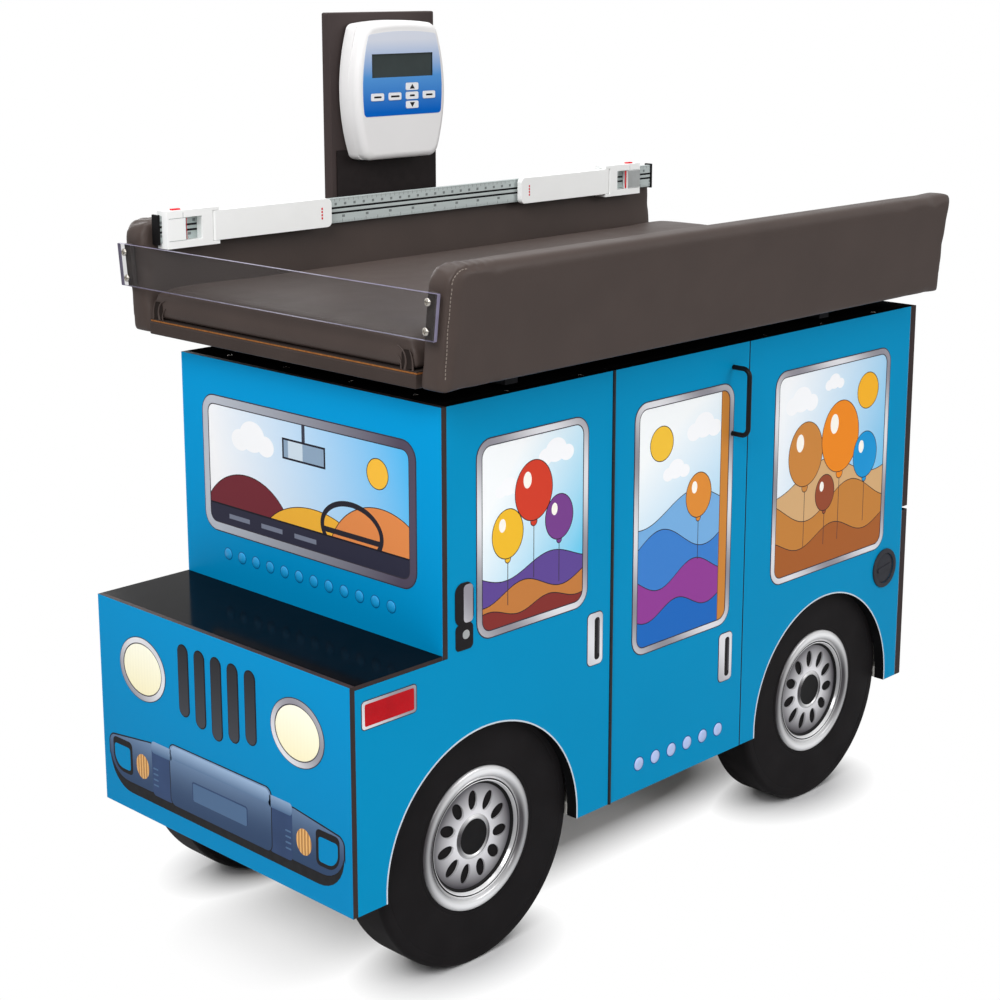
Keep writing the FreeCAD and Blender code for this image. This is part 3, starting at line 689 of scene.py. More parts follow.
def dress_node(node, name, body, names, edge=0.0, segments=2, choose=None, angle=35, limit=30):
    """Stands a softened copy in for a node"""
    piece = copy_node(node)
    if edge:
        soften(piece, edge, segments, limit)
    dress(piece, name, body, names, choose, angle)
    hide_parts(node)


def finish_nodes(name, *group):
    for node in group:
        nodes[node].data.materials.clear()
        nodes[node].data.materials.append(finish(name))


def join(pieces):
    spent = [piece.name for piece in pieces[1:]]
    only(*pieces)
    bpy.ops.object.join()
    for name in spent:
        if name in bpy.data.objects:
            bpy.data.objects.remove(bpy.data.objects[name])
    return pieces[0]


def copies(piece, places, turns=None):
    """Sets copies of a piece at these places and turns, each with its own mesh, and joins them"""
    made = [piece] + [duplicate(piece) for place in places[1:]]
    for index, (each, place) in enumerate(zip(made, places)):
        each.location = place
        if turns:
            each.rotation_euler = turns[index]
    freeze(join(made))
    return piece


def block(low, high):
    """An open box between two corners"""
    piece = primitive("cube", size=1)
    open_mesh(piece)
    bpy.ops.transform.resize(value=tuple(high - low))
    bpy.ops.transform.translate(value=tuple((low + high) / 2))
    return piece


def new_plane(width, height, corner):
    piece = primitive("plane", size=1)
    open_mesh(piece)
    bpy.ops.transform.resize(value=(width, height, 1))
    if corner:
        bpy.ops.mesh.bevel(offset=corner, segments=7, affect="VERTICES", clamp_overlap=False)
        bpy.ops.mesh.select_all(action="SELECT")
    return piece


def new_disc(half_width, half_height, sides):
    piece = primitive("circle", vertices=sides, radius=1, fill_type="NGON")
    open_mesh(piece)
    bpy.ops.transform.resize(value=(half_width, half_height, 1))
    bpy.ops.mesh.select_mode(type="FACE")
    return piece


def rounded_panel(width, height, corner, rise, edge=0.0):
    piece = new_plane(width, height, corner)
    raise_by(rise)
    seal()
    if edge:
        soften(piece, edge)
    return piece


def raised_band(piece, band, rise, edge):
    """Leaves an open flat piece as a raised band along its outline"""
    bpy.ops.mesh.select_mode(type="FACE")
    bpy.ops.mesh.inset(thickness=band)
    bpy.ops.mesh.delete(type="FACE")
    bpy.ops.mesh.select_all(action="SELECT")
    raise_by(rise)
    seal()
    soften(piece, edge)
    return piece


def rounded_frame(width, height, corner, band, rise, edge):
    return raised_band(new_plane(width, height, corner), band, rise, edge)


def ring_band(half_width, half_height, band, rise, edge):
    return raised_band(new_disc(half_width, half_height, 56), band, rise, edge)


def domed_disc(half_width, half_height, rise, rings, sides=48):
    """A disc raised in rings to a low dome"""
    piece = new_disc(half_width, half_height, sides)
    inside, over = 0.0, 0.0
    for ring in range(1, rings + 1):
        turn = math.pi / 2 * ring / (rings + 0.6)
        next_inside, next_over = min(half_width, half_height) * (1 - math.cos(turn)), rise * math.sin(turn)
        bpy.ops.mesh.inset(thickness=next_inside - inside, depth=next_over - over)
        inside, over = next_inside, next_over
    seal()
    return piece


def turned(profile, sides):
    """Turns a profile of (radius, height) about the upright axis, ring by ring, and closes both ends"""
    piece = primitive("circle", vertices=sides, radius=profile[0][0], fill_type="NGON")
    open_mesh(piece)
    bpy.ops.transform.translate(value=(0, 0, profile[0][1]))
    bpy.ops.mesh.select_mode(type="EDGE")
    for (radius, height), (next_radius, next_height) in zip(profile, profile[1:]):
        raise_by(next_height - height)
        share = next_radius / radius
        bpy.ops.transform.resize(value=(share, share, 1), center_override=(0, 0, 0))
    bpy.ops.mesh.select_all(action="SELECT")
    bpy.ops.mesh.remove_doubles(threshold=0.000001)
    seal()
    return piece


def screw_head(radius, rise):
    """A domed head with a cross recess"""
    profile = ((1, 0), (1, 0.25), (0.92, 0.6), (0.7, 0.88), (0.35, 1))
    piece = turned([(radius * out, rise * up) for out, up in profile], 24)
    for turn in (20, 110):
        slit = primitive("cube", size=1, rotation=(0, 0, math.radians(turn)), location=(0, 0, rise))
        slit.scale = (radius * 1.1, radius * 0.28, rise * 0.9)
        cut(piece, slit)
    return piece


def tube(knots, radius, rings, steps, shape):
    """A capped tube through knots, whose handles and thickness shape() sets"""
    curve = bpy.data.curves.new("tube_path", "CURVE")
    curve.dimensions = "3D"
    curve.bevel_depth = radius
    curve.bevel_resolution = rings
    curve.resolution_u = steps
    curve.use_fill_caps = True
    path = curve.splines.new("BEZIER")
    path.bezier_points.add(len(knots) - 1)
    for index, (point, knot) in enumerate(zip(path.bezier_points, knots)):
        point.co = knot
        shape(index, point)
    piece = bpy.data.objects.new("tube_path", curve)
    bpy.context.scene.collection.objects.link(piece)
    only(piece)
    bpy.ops.object.convert(target="MESH")
    piece = bpy.context.object
    weld(piece)
    return piece


# Points on the door side, the rod side, the hood's front and the windshield board
def side_point(from_hood, height):
    return Vector((hood_x + from_hood, near_y, height))


def far_point(from_hood, height):
    return Vector((hood_x + from_hood, far_y, height))


def hood_point(right, height):
    return Vector((hood_x + sizes().trim_rise, middle_y - right, height))


def glass_point(right, height):
    return Vector((glass_x, middle_y - right, height))


def rivets(start, body, turn, places, shapes, rings, sides):
    for end, (radius, rise, shown) in zip(("_rivet_seats", "_rivets"), shapes):
        rivet = domed_disc(radius, radius, rise, rings, sides)
        lay_on(rivet, turn, (0, 0, 0))
        dress(copies(rivet, places), start + end, body, (shown,))


class SCALETABLE_OT_boards(bpy.types.Operator):
    """Softens the cabinet boards and gives each face its laminate, edging or melamine"""
    bl_idname = "scale_table.boards"
    bl_label = "Cabinet boards"

    def execute(self, context):
        arch_reach, arch_foot = 0.195, 0.162
        near, far, front, rear, up = (Vector(way) for way in (
            (0, -1, 0), (0, 1, 0), (-1, 0, 0), (1, 0, 0), (0, 0, 1)))
        for node, body, slot, out in (
                ("near_front_side", "cabinet", "side_laminate", near),
                ("near_rear_side", "cabinet", "side_laminate", near),
                ("far_side", "cabinet", "side_laminate", far),
                ("side_door", "door", "side_laminate", near),
                ("hood_front", "cabinet", "front_laminate", front),
                ("windshield_panel", "cabinet", "front_laminate", front),
                ("hood_top", "cabinet", "black_laminate", up),
                ("cabinet_top", "cabinet", "black_laminate", up),
                ("upper_drawer_front", "upper_drawer", "side_laminate", rear),
                ("lower_drawer_front", "lower_drawer", "side_laminate", rear)):
            piece = copy_node(node)
            if node == "hood_front":
                # Room for the trims inside the part's length
                open_mesh(piece)
                pick(piece, "VERT", lambda place: place.x < hood_x + 0.001)
                bpy.ops.transform.translate(value=(sizes().trim_rise, 0, 0))
                close_mesh()
            soften(piece, sizes().board_edge)

            def choose(normal, centre):
                facing = normal.dot(out)
                if abs(facing) > 0.6:
                    return 0 if facing > 0 else 2
                under_arch = any(math.hypot(centre.x - axle, centre.z - ARCH_HEIGHT) < arch_reach
                                 for axle in axles)
                dark = normal.z > 0.6 or (under_arch and centre.z > arch_foot)
                return 3 if slot == "side_laminate" and dark else 1

            face = "lid_black" if node == "cabinet_top" else slot
            dress(piece, node + "_board", body, (face, "board_edging", "melamine", "lid_black"), choose)
            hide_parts(node)
        finish_nodes("melamine", "bottom_board", "front_bulkhead", "rear_bulkhead", "shelf", "shelf_cleats",
                     "upper_drawer_box", "lower_drawer_box", "cabinet_runners")
        finish_nodes("hub_black", "wheel_walls")
        finish_nodes("hinge_steel", "hinge_frame_leaf", "hinge_door_leaf", "hinge_pin")
        return {"FINISHED"}


# Layers of each printed picture, from the back
PICTURES = {
    "windshield": (
        ("blended", (250, 251, 253), (20, 178, 240), 1, 0.25, -0.2, 0.27),
        ("cloud", -0.115, 0.045, 0.04),
        ("ball", 0.155, 0.047, 0.021, 0.021, (248, 190, 62)),
        ("ball", -0.13, -0.1, 0.105, 0.092, (112, 40, 50)),
        ("ball", 0.02, -0.105, 0.12, 0.075, (240, 178, 56)),
        ("ball", 0.16, -0.1, 0.11, 0.098, (226, 138, 76)),
        ("hoop", 0.1, -0.045, 0.066, 0.042, 0.008, (36, 34, 44)),
        ("bar", 0.1, -0.052, 0.058, 0.004, (36, 34, 44)),
        ("bar", 0, -0.091, 0.25, 0.031, (20, 20, 30)),
        ("bar", 0, -0.093, 0.25, 0.0305, (44, 44, 62)),
        ("bar", -0.15, -0.0765, 0.024, 0.0035, (120, 126, 144)),
        ("bar", -0.075, -0.0765, 0.024, 0.0035, (120, 126, 144)),
        ("bar", 0, -0.0765, 0.024, 0.0035, (120, 126, 144)),
        ("bar", 0, 0.078, 0.0035, 0.02, (60, 62, 76)),
        ("bar", 0, 0.0495, 0.047, 0.0155, (30, 28, 40)),
        ("bar", 0, 0.0495, 0.0435, 0.0125, (142, 166, 190)),
        ("bar", -0.018, 0.0495, 0.016, 0.0125, (206, 222, 234))),
    "front_window": (
        ("blended", (250, 253, 254), (86, 200, 238), 1, -0.8, -0.12, 0.16),
        ("cloud", 0.045, 0.095, 0.03),
        ("cloud", -0.05, 0.062, 0.022),
        ("hill", -0.055, 0.012, 34, 0.4, (96, 72, 148)),
        ("hill", -0.085, 0.012, 40, 2.4, (196, 124, 62)),
        ("hill", -0.112, 0.007, 52, 0.0, (132, 48, 44)),
        ("balloon", -0.052, 0.0, 0.03, (244, 190, 46)),
        ("balloon", 0.052, 0.004, 0.028, (120, 64, 140)),
        ("balloon", 0.0, 0.052, 0.037, (212, 62, 40))),
    "door_window": (
        ("blended", (250, 253, 254), (98, 196, 240), 0.6, -1, -0.16, 0.18),
        ("ball", -0.055, 0.125, 0.026, 0.026, (246, 196, 60)),
        ("cloud", 0.045, 0.13, 0.034),
        ("cloud", -0.02, 0.075, 0.026),
        ("hill", 0.02, 0.02, 26, 1.0, (120, 176, 226)),
        ("hill", -0.03, 0.022, 30, 3.2, (60, 128, 206)),
        ("hill", -0.085, 0.016, 38, 0.6, (146, 60, 150)),
        ("hill", -0.135, 0.012, 44, 2.2, (24, 104, 190)),
        ("balloon", 0.035, 0.03, 0.03, (226, 142, 54)),
        ("bar", 0.098, 0.0, 0.0115, 0.2, (120, 74, 30)),
        ("bar", 0.0985, 0.0, 0.0105, 0.2, (206, 134, 56))),
    "rear_window": (
        ("blended", (250, 252, 254), (96, 190, 236), 1, -0.5, -0.2, 0.2),
        ("ball", 0.098, 0.11, 0.03, 0.03, (248, 180, 40)),
        ("cloud", -0.09, 0.115, 0.036),
        ("cloud", 0.0, 0.135, 0.022),
        ("hill", -0.01, 0.022, 22, 2.0, (214, 172, 122)),
        ("hill", -0.06, 0.024, 26, 0.2, (198, 130, 58)),
        ("hill", -0.115, 0.014, 34, 1.4, (168, 94, 40)),
        ("balloon", -0.075, 0.03, 0.046, (204, 134, 62)),
        ("balloon", 0.022, 0.044, 0.052, (240, 138, 30)),
        ("balloon", 0.096, 0.0, 0.034, (20, 150, 214)),
        ("balloon", -0.018, -0.045, 0.026, (150, 74, 46))),
    "far_windows": (
        ("blended", (250, 253, 254), (92, 198, 238), 1, -0.6, -0.16, 0.18),
        ("cloud", 0.03, 0.085, 0.03),
        ("cloud", -0.05, 0.055, 0.022),
        ("hill", -0.04, 0.014, 28, 0.7, (120, 176, 226)),
        ("hill", -0.08, 0.014, 34, 2.4, (60, 128, 206)),
        ("hill", -0.112, 0.008, 44, 0.2, (198, 130, 58))),
}


class SCALETABLE_OT_windows(bpy.types.Operator):
    """Lays the printed windows on the windshield, the door side and the rod side"""
    bl_idname = "scale_table.windows"
    bl_label = "Printed windows"

    def window(self, name, body, slot, turn, place, size, band, trim, axis, way, layers):
        """A printed pane in a raised frame"""
        picture = PrintedPicture(name + "_picture", place, axis, way)
        for kind, *values in PICTURES[layers]:
            getattr(picture, kind)(*values)
        width, height = size
        corner, rise = sizes().frame_corner, sizes().trim_rise
        pane = rounded_panel(width - band, height - band, corner, rise * 0.3)
        fit(pane, turn, place, name + "_pane", body, picture.printed())
        margin = 0.003
        line = rounded_frame(width + margin, height + margin, corner + margin / 2, band + margin,
                             rise * 0.55, 0.0001)
        fit(line, turn, place, name + "_outline", body, "dark_line")
        rim = rounded_frame(width, height, corner, band, rise, rise * 0.6)
        fit(rim, turn, place, name + "_frame", body, trim)

    def execute(self, context):
        self.window("windshield", "cabinet", "front_laminate", ON_FRONT, glass_point(0, 0.6645),
                    (0.461, 0.206), 0.012, "glass_trim", 1, -1, "windshield")
        for name, body, along, height, size in (
                ("front_window", "cabinet", 0.344, 0.6265, (0.2236, 0.28)),
                ("door_window", "door", 0.675, 0.5713, (0.233, 0.3856)),
                ("rear_window", "cabinet", 1.0617, 0.5855, (0.3224, 0.351))):
            self.window(name, body, "side_laminate", ON_NEAR, side_point(along, height), size,
                        sizes().frame_band, "silver_trim", 0, 1, name)
        for name, along, width in (("front", 0.344, 0.2236), ("middle", 0.675, 0.233),
                                   ("rear", 1.0617, 0.3224)):
            self.window("far_%s_window" % name, "cabinet", "side_laminate", ON_FAR, far_point(along, 0.6265),
                        (width, 0.28), sizes().frame_band, "silver_trim", 0, -1, "far_windows")
        count, pitch, height = 12, 0.0326, 0.5285
        places = [glass_point(pitch * (index - (count - 1) / 2), height) for index in range(count)]
        rivets("windshield", "cabinet", ON_FRONT, places,
               ((0.0097, 0.0005, "rivet_seat"), (0.0085, 0.0018, "front_rivet")), 4, 24)
        return {"FINISHED"}


class SCALETABLE_OT_bus_front(bpy.types.Operator):
    """Sets lamps, grille and bumper on the hood's front"""
    bl_idname = "scale_table.bus_front"
    bl_label = "Bus front"

    def set_on(self, piece, right, height, name, shown):
        fit(piece, ON_FRONT, hood_point(right, height), name, "cabinet", shown)

    def panel(self, name, right, height, width, tall, corner, lift, shown, slope=0.0, wide=0.0):
        """A bumper panel, whose top may slope and whose low outer corners may be wider"""
        rise = sizes().trim_rise * lift
        if wide:
            piece = new_plane(width, tall, 0)
            for out in (-1, 1):
                for top in (-1, 1):
                    pick(piece, "VERT", lambda at: at.x * out > width * 0.499 and at.y * top > tall * 0.499)
                    low_corner = top < 0 and (right == 0 or out * right > 0)
                    bpy.ops.mesh.bevel(offset=wide if low_corner else corner, segments=8, affect="VERTICES",
                                       clamp_overlap=False)
            bpy.ops.mesh.select_all(action="SELECT")
            raise_by(rise)
            seal()
            soften(piece, rise * 0.4)
        else:
            piece = rounded_panel(width, tall, corner, rise, rise * 0.4)
        for point in piece.data.vertices:
            if slope and point.co.y > 0:
                point.co.y -= slope * max(0.0, math.copysign(1, right) * point.co.x / width + 0.5)
        self.set_on(piece, right, height, name, shown)

    def execute(self, context):
        rise, hands = sizes().trim_rise, ((-1, "_far"), (1, "_near"))
        for side, name in hands:
            for part, piece, shown in (
                    ("lens", domed_disc(0.0475, 0.0405, rise * 0.8, 5), "lamp_cream"),
                    ("line", ring_band(0.0556, 0.0486, 0.0105, rise * 0.5, 0.0001), "dark_line"),
                    ("ring", ring_band(0.0545, 0.0475, 0.0078, rise, rise * 0.5), "silver_trim")):
                self.set_on(piece, side * 0.1735, 0.391, "headlamp_" + part + name, shown)
        grille_top = 0.4535
        for index, drop in enumerate((0.1085, 0.116, 0.1235, 0.116, 0.1085)):
            right = (-0.075, -0.0372, 0, 0.0372, 0.075)[index]
            for part, piece, shown in (
                    ("line", rounded_panel(0.0245, drop, 0.0122, rise * 0.4), "key_ink"),
                    ("slot", rounded_panel(0.0215, drop - 0.003, 0.0107, rise, rise * 0.5), "grille_dark")):
                self.set_on(piece, right, grille_top - drop / 2, "grille_%s_%d" % (part, index + 1), shown)
        # Place, height, width, tallness, corner, lift, finish, slope and wide corner of each panel
        self.panel("bumper_strip", 0, 0.2215, 0.528, 0.067, 0.012, 0.3, "groove_black", 0.0, 0.052)
        for side, name in hands:
            for part, right, *measures in (
                    ("end_line", 0.208, 0.2435, 0.116, 0.081, 0.013, 0.4, "key_ink", 0.014, 0.046),
                    ("end", 0.208, 0.2435, 0.112, 0.077, 0.011, 0.55, "bumper_steel", 0.014, 0.044),
                    ("opening_line", 0.2315, 0.2415, 0.048, 0.052, 0.008, 0.7, "key_ink", 0.0, 0.026),
                    ("opening", 0.2325, 0.2395, 0.039, 0.036, 0.005, 0.85, "front_laminate", 0.0, 0.021),
                    ("recess", 0.134, 0.2435, 0.05, 0.083, 0.008, 0.65, "bumper_shade"),
                    ("recess_lip", 0.134, 0.2765, 0.05, 0.018, 0.006, 0.8, "bumper_light")):
                self.panel("bumper_" + part + name, side * right, *measures)
            for part, piece, shown in (
                    ("turn_lamp_seat", domed_disc(0.0219, 0.0252, rise * 0.8, 3, 40), "groove_black"),
                    ("turn_lamp", domed_disc(0.0194, 0.0226, rise * 0.98, 4, 40), "amber_lens")):
                self.set_on(piece, side * 0.1825, 0.2385, part + name, shown)
            lowest, pitch = 0.2185, 0.0085
            for index in range(4):
                self.panel("bumper_slit%s_%d" % (name, index + 1), side * 0.15, lowest + pitch * index,
                           0.012, 0.0026, 0.0012, 0.9, "bumper_light")
        for part, *measures in (
                ("middle_line", 0, 0.2475, 0.232, 0.096, 0.012, 0.7, "key_ink"),
                ("middle", 0, 0.2475, 0.229, 0.093, 0.011, 0.8, "bumper_steel"),
                ("middle_top", 0, 0.2815, 0.223, 0.021, 0.009, 0.9, "bumper_light"),
                ("plate_line", 0, 0.2365, 0.126, 0.03, 0.004, 0.9, "bumper_shade"),
                ("plate", 0, 0.2355, 0.122, 0.0275, 0.003, 1.0, "bumper_light")):
            self.panel("bumper_" + part, *measures)
        return {"FINISHED"}


class SCALETABLE_OT_side_trim(bpy.types.Operator):
    """Sets the marker lamps, handle plates, mirror, filler cap, rivets and the painted highlight lines round
    the arches on the sides
    """
    bl_idname = "scale_table.side_trim"
    bl_label = "Side trim"

    # Rows of plates: part, step aside and up, width, height, corner, lift and finish
    MARKER = (("_line", 0, 0, 0.099, 0.041, 0.0065, 0.5, "dark_line"),
              ("_border", 0, 0, 0.0965, 0.0385, 0.005, 0.9, "silver_trim"),
              ("_lens", 0, 0, 0.0875, 0.0305, 0.0025, 1.5, "red_lens"))
    HANDLE = (("_line", 0, 0, 0.0345, 0.0815, 0.0085, 0.5, "dark_line"),
              ("_plate", 0, 0, 0.032, 0.079, 0.0075, 1.6, "silver_trim"),
              ("_slot", 0.0035, 0, 0.0115, 0.065, 0.005, 1.9, "key_ink"),
              ("_glint", 0.0062, 0.002, 0.0035, 0.052, 0.0017, 2.2, "satin_silver"))
    MIRROR = (("_bracket", 0, 0, 0.0335, 0.037, 0.007, 0.9, "key_ink"),
              ("_knob", 0.003, 0.003, 0.013, 0.013, 0.006, 1.5, "plate_grey"),
              ("_housing", 0, 0.0465, 0.035, 0.061, 0.014, 1.4, "key_ink"),
              ("_glass", 0.007, 0.0465, 0.0175, 0.054, 0.006, 2.0, "silver_trim"))

    def plates(self, name, body, middle, rows, turn=ON_NEAR):
        for part, aside, up, width, height, corner, lift, shown in rows:
            rise = sizes().trim_rise * lift
            piece = rounded_panel(width, height, corner, rise, rise * 0.5)
            fit(piece, turn, middle + Vector((aside, 0, up)), name + part, body, shown)

    def arch_line(self, name, axle, turn, outer_y):
        """A pale line of painted highlight round a wheel arch, down to the board's lower edge"""
        foot = 0.1605
        wide = (WHEEL_RADIUS + sizes().arch_line) / WHEEL_RADIUS
        piece = primitive("circle", vertices=128, radius=WHEEL_RADIUS)
        open_mesh(piece)
        pick(piece, "VERT", lambda place: place.y < -0.0001)
        bpy.ops.mesh.delete(type="VERT")
        pick(piece, "VERT", lambda place: place.y < 0.0001)
        bpy.ops.mesh.extrude_edges_move(TRANSFORM_OT_translate={"value": (0, foot - ARCH_HEIGHT, 0)})
        pick(piece, "VERT", lambda place: True)
        bpy.ops.mesh.extrude_edges_move()
        bpy.ops.transform.resize(value=(wide, 1, 1), center_override=(0, 0, 0))
        mesh = bmesh.from_edit_mesh(piece.data)
        for point in mesh.verts:
            if point.select and point.co.y > 0.0001:
                point.co.y *= wide
        bmesh.update_edit_mesh(piece.data)
        bpy.ops.mesh.select_all(action="SELECT")
        bpy.ops.mesh.normals_make_consistent(inside=False)
        raise_by(0.0004)
        bpy.ops.mesh.select_all(action="SELECT")
        bpy.ops.mesh.remove_doubles(threshold=0.000001)
        seal()
        fit(piece, turn, (axle, outer_y, ARCH_HEIGHT), name, "cabinet", "pale_line")

    def execute(self, context):
        hands = (("_near", side_point, ON_NEAR, near_y), ("_far", far_point, ON_FAR, far_y))
        for hand, point, turn, outer in hands:
            self.plates("marker_lamp" + hand, "cabinet", point(0.0693, 0.4375), self.MARKER, turn)
        self.plates("front_handle", "cabinet", side_point(0.4745, 0.43), self.HANDLE)
        self.plates("door_handle", "door", side_point(0.7857, 0.322), self.HANDLE)
        self.plates("mirror", "cabinet", side_point(0.2075, 0.4995), self.MIRROR)
        for hand, point, turn, outer in hands:
            for end, axle in zip(("front", "rear"), axles):
                self.arch_line("arch_line_" + end + hand, axle, turn, outer)
        start, pitch, height = 0.5786, 0.03864, 0.2042
        places = [side_point(start + pitch * index, height) for index in range(6)]
        rivets("door", "door", ON_NEAR, places,
               ((0.0118, 0.0006, "rivet_seat"), (0.0103, 0.0022, "pearl_rivet")), 5, 28)
        bar = rounded_panel(0.04, 0.0085, 0.003, 0.0028, 0.001)
        lay_on(bar, (0, 0, math.radians(8)), (0, 0, 0))
        cap = join([ring_band(0.0345, 0.0345, 0.008, 0.003, 0.0012),
                    domed_disc(0.0268, 0.0268, 0.0014, 4), bar])
        fit(cap, ON_NEAR, side_point(1.231, 0.3695), "filler_cap", "cabinet", "cap_rubber")
        top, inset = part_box("cabinet_top")[1].z, 0.0095
        heads = [(hood_x + along, y, top) for along in (0.3, 0.45, 0.88, 1.03, 1.18)
                 for y in (near_y + inset, far_y - inset)]
        heads += [(glass_x + 0.03, middle_y + across, top) for across in (-0.2, -0.07, 0.07, 0.2)]
        dress(copies(screw_head(0.0038, 0.0011), heads), "lid_screws", "cabinet", ("screw_steel",))
        return {"FINISHED"}


class SCALETABLE_OT_wheels(bpy.types.Operator):
    """Turns the tyres and their pierced bright covers"""
    bl_idname = "scale_table.wheels"
    bl_label = "Wheels"

    def tyre(self):
        width, radius, seat, core, pocket = 0.076, WHEEL_RADIUS, 0.1053, 0.012, 0.0115
        shoulder = sizes().tyre_shoulder
        turns = [math.pi / 2 * step / 4 for step in range(5)]
        bend = radius - shoulder
        tread = [(bend + shoulder * math.sin(turn), shoulder - shoulder * math.cos(turn)) for turn in turns]
        tread.append((radius, width * 0.5))
        tread += [(bend + shoulder * math.cos(turn), width - shoulder + shoulder * math.sin(turn))
                  for turn in turns]
        sidewall = [(0.172, width), (0.1705, width - 0.0006), (0.169, width), (0.1125, width),
                    (0.111, width - 0.0008), (0.1095, width), (seat + 0.001, width), (seat, width - 0.001)]
        hollow = [(seat, width - pocket), (core, width - pocket)]
        return turned([(core, 0.0)] + tread + sidewall + hollow, 112)

    def cover(self):
        back = [(0.004, -0.0112), (0.0898, -0.0112), (0.0898, -0.0018), (0.105, -0.0018)]
        bead = [(0.0975 + 0.0075 * math.cos(math.pi * step / 10), 0.0034 * math.sin(math.pi * step / 10))
                for step in range(11)]
        rings = [(0.0888, -0.0012), (0.0878, -0.0004), (0.0868, -0.0004), (0.0858, -0.0016),
                 (0.0848, -0.0022), (0.0838, -0.0014), (0.0828, -0.0014), (0.0818, -0.0026),
                 (0.0805, -0.0062), (0.0785, -0.0088), (0.0765, -0.0096)]
        dish = [(0.07, -0.0092), (0.054, -0.008), (0.04, -0.0074), (0.033, -0.0074)]
        hub = [(0.0318, -0.0068), (0.0305, -0.005), (0.029, -0.0046), (0.0275, -0.005), (0.0262, -0.0066),
               (0.025, -0.0072), (0.004, -0.0072)]
        piece = turned(back + bead + rings + dish + hub, 110)
        holes, reach, cutters = 11, 0.054, []
        for index in range(holes):
            turn = 2 * math.pi * index / holes + math.pi / 2
            place = (reach * math.cos(turn), reach * math.sin(turn), -0.008)
            cutter = primitive("cylinder", vertices=28, radius=1, depth=1, location=place,
                               rotation=(0, 0, turn))
            cutter.scale = (0.0148, 0.0088, 0.03)
            cutters.append(cutter)
        cut(piece, join(cutters))

        def choose(normal, centre):
            reach = math.hypot(centre.x, centre.y)
            if reach < 0.0256 or 0.0772 < reach < 0.0806 or 0.0841 < reach < 0.0853:
                return 2
            return 1 if 0.0335 < reach < 0.0772 else 0

        coat(piece, ("chrome", "satin_silver", "hub_black"), choose)
        return piece

    def execute(self, context):
        tyre, cover = self.tyre(), self.cover()
        for name in ("front_near", "front_far", "rear_near", "rear_far"):
            low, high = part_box("tyre_" + name)
            turn, inner, outer = (ON_NEAR, high.y, low.y) if "near" in name else (ON_FAR, low.y, high.y)
            axle = (low.x + high.x) / 2
            piece = duplicate(tyre)
            lay_on(piece, turn, (axle, inner, AXLE_HEIGHT))
            open_mesh(piece)
            bpy.ops.mesh.bisect(plane_co=(0, 0, 0), plane_no=(0, 0, -1), use_fill=True, clear_outer=True)
            close_mesh()
            dress(piece, "wheel_tyre_" + name, "cabinet", ("rubber",))
            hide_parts("tyre_" + name)
            piece = duplicate(cover)
            lay_on(piece, turn, (axle, outer, AXLE_HEIGHT))
            piece.name = "wheel_cover_" + name
            smooth(piece, 40)
            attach(piece, "cabinet")
            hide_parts("wheel_covers")
        bpy.data.objects.remove(tyre)
        bpy.data.objects.remove(cover)
        return {"FINISHED"}


class SCALETABLE_OT_pulls(bpy.types.Operator):
    """Bends the wire pulls of the door and drawers"""
    bl_idname = "scale_table.pulls"
    bl_label = "Wire pulls"

    def wire(self, foot_low, foot_high, out):
        """A bar on two legs, with round bends"""
        bend, round_share = 0.012, 0.5523
        along, level = (foot_high - foot_low).normalized(), out * 0.031
        knots = [foot_low, foot_low + level - out * bend, foot_low + level + along * bend,
                 foot_high + level - along * bend, foot_high + level - out * bend, foot_high]
        ways = [out, out, along, along, -out, -out]

        def shape(index, point):
            reach = 0.004 if index in (0, 5) else bend * round_share
            point.handle_left = point.co - ways[index] * reach
            point.handle_right = point.co + ways[index] * reach

        return tube(knots, 0.0038, 5, 8, shape)

    def execute(self, context):
        rear = Vector((1, 0, 0))
        for node, body, axis, out in (("door_pull", "door", 2, Vector((0, -1, 0))),
                                      ("upper_drawer_pull", "upper_drawer", 1, rear),
                                      ("lower_drawer_pull", "lower_drawer", 1, rear)):
            low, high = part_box(node)
            foot, step = (low + high) / 2, Vector((0, 0, 0))
            if out.y < 0:
                foot.y = high.y
            else:
                foot.x = low.x
            step[axis] = (high[axis] - low[axis]) / 2 - 0.004
            piece = self.wire(foot - step, foot + step, out)
            dress(piece, node + "_wire", body, ("powder_black",), angle=60)
            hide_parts(node)
        return {"FINISHED"}


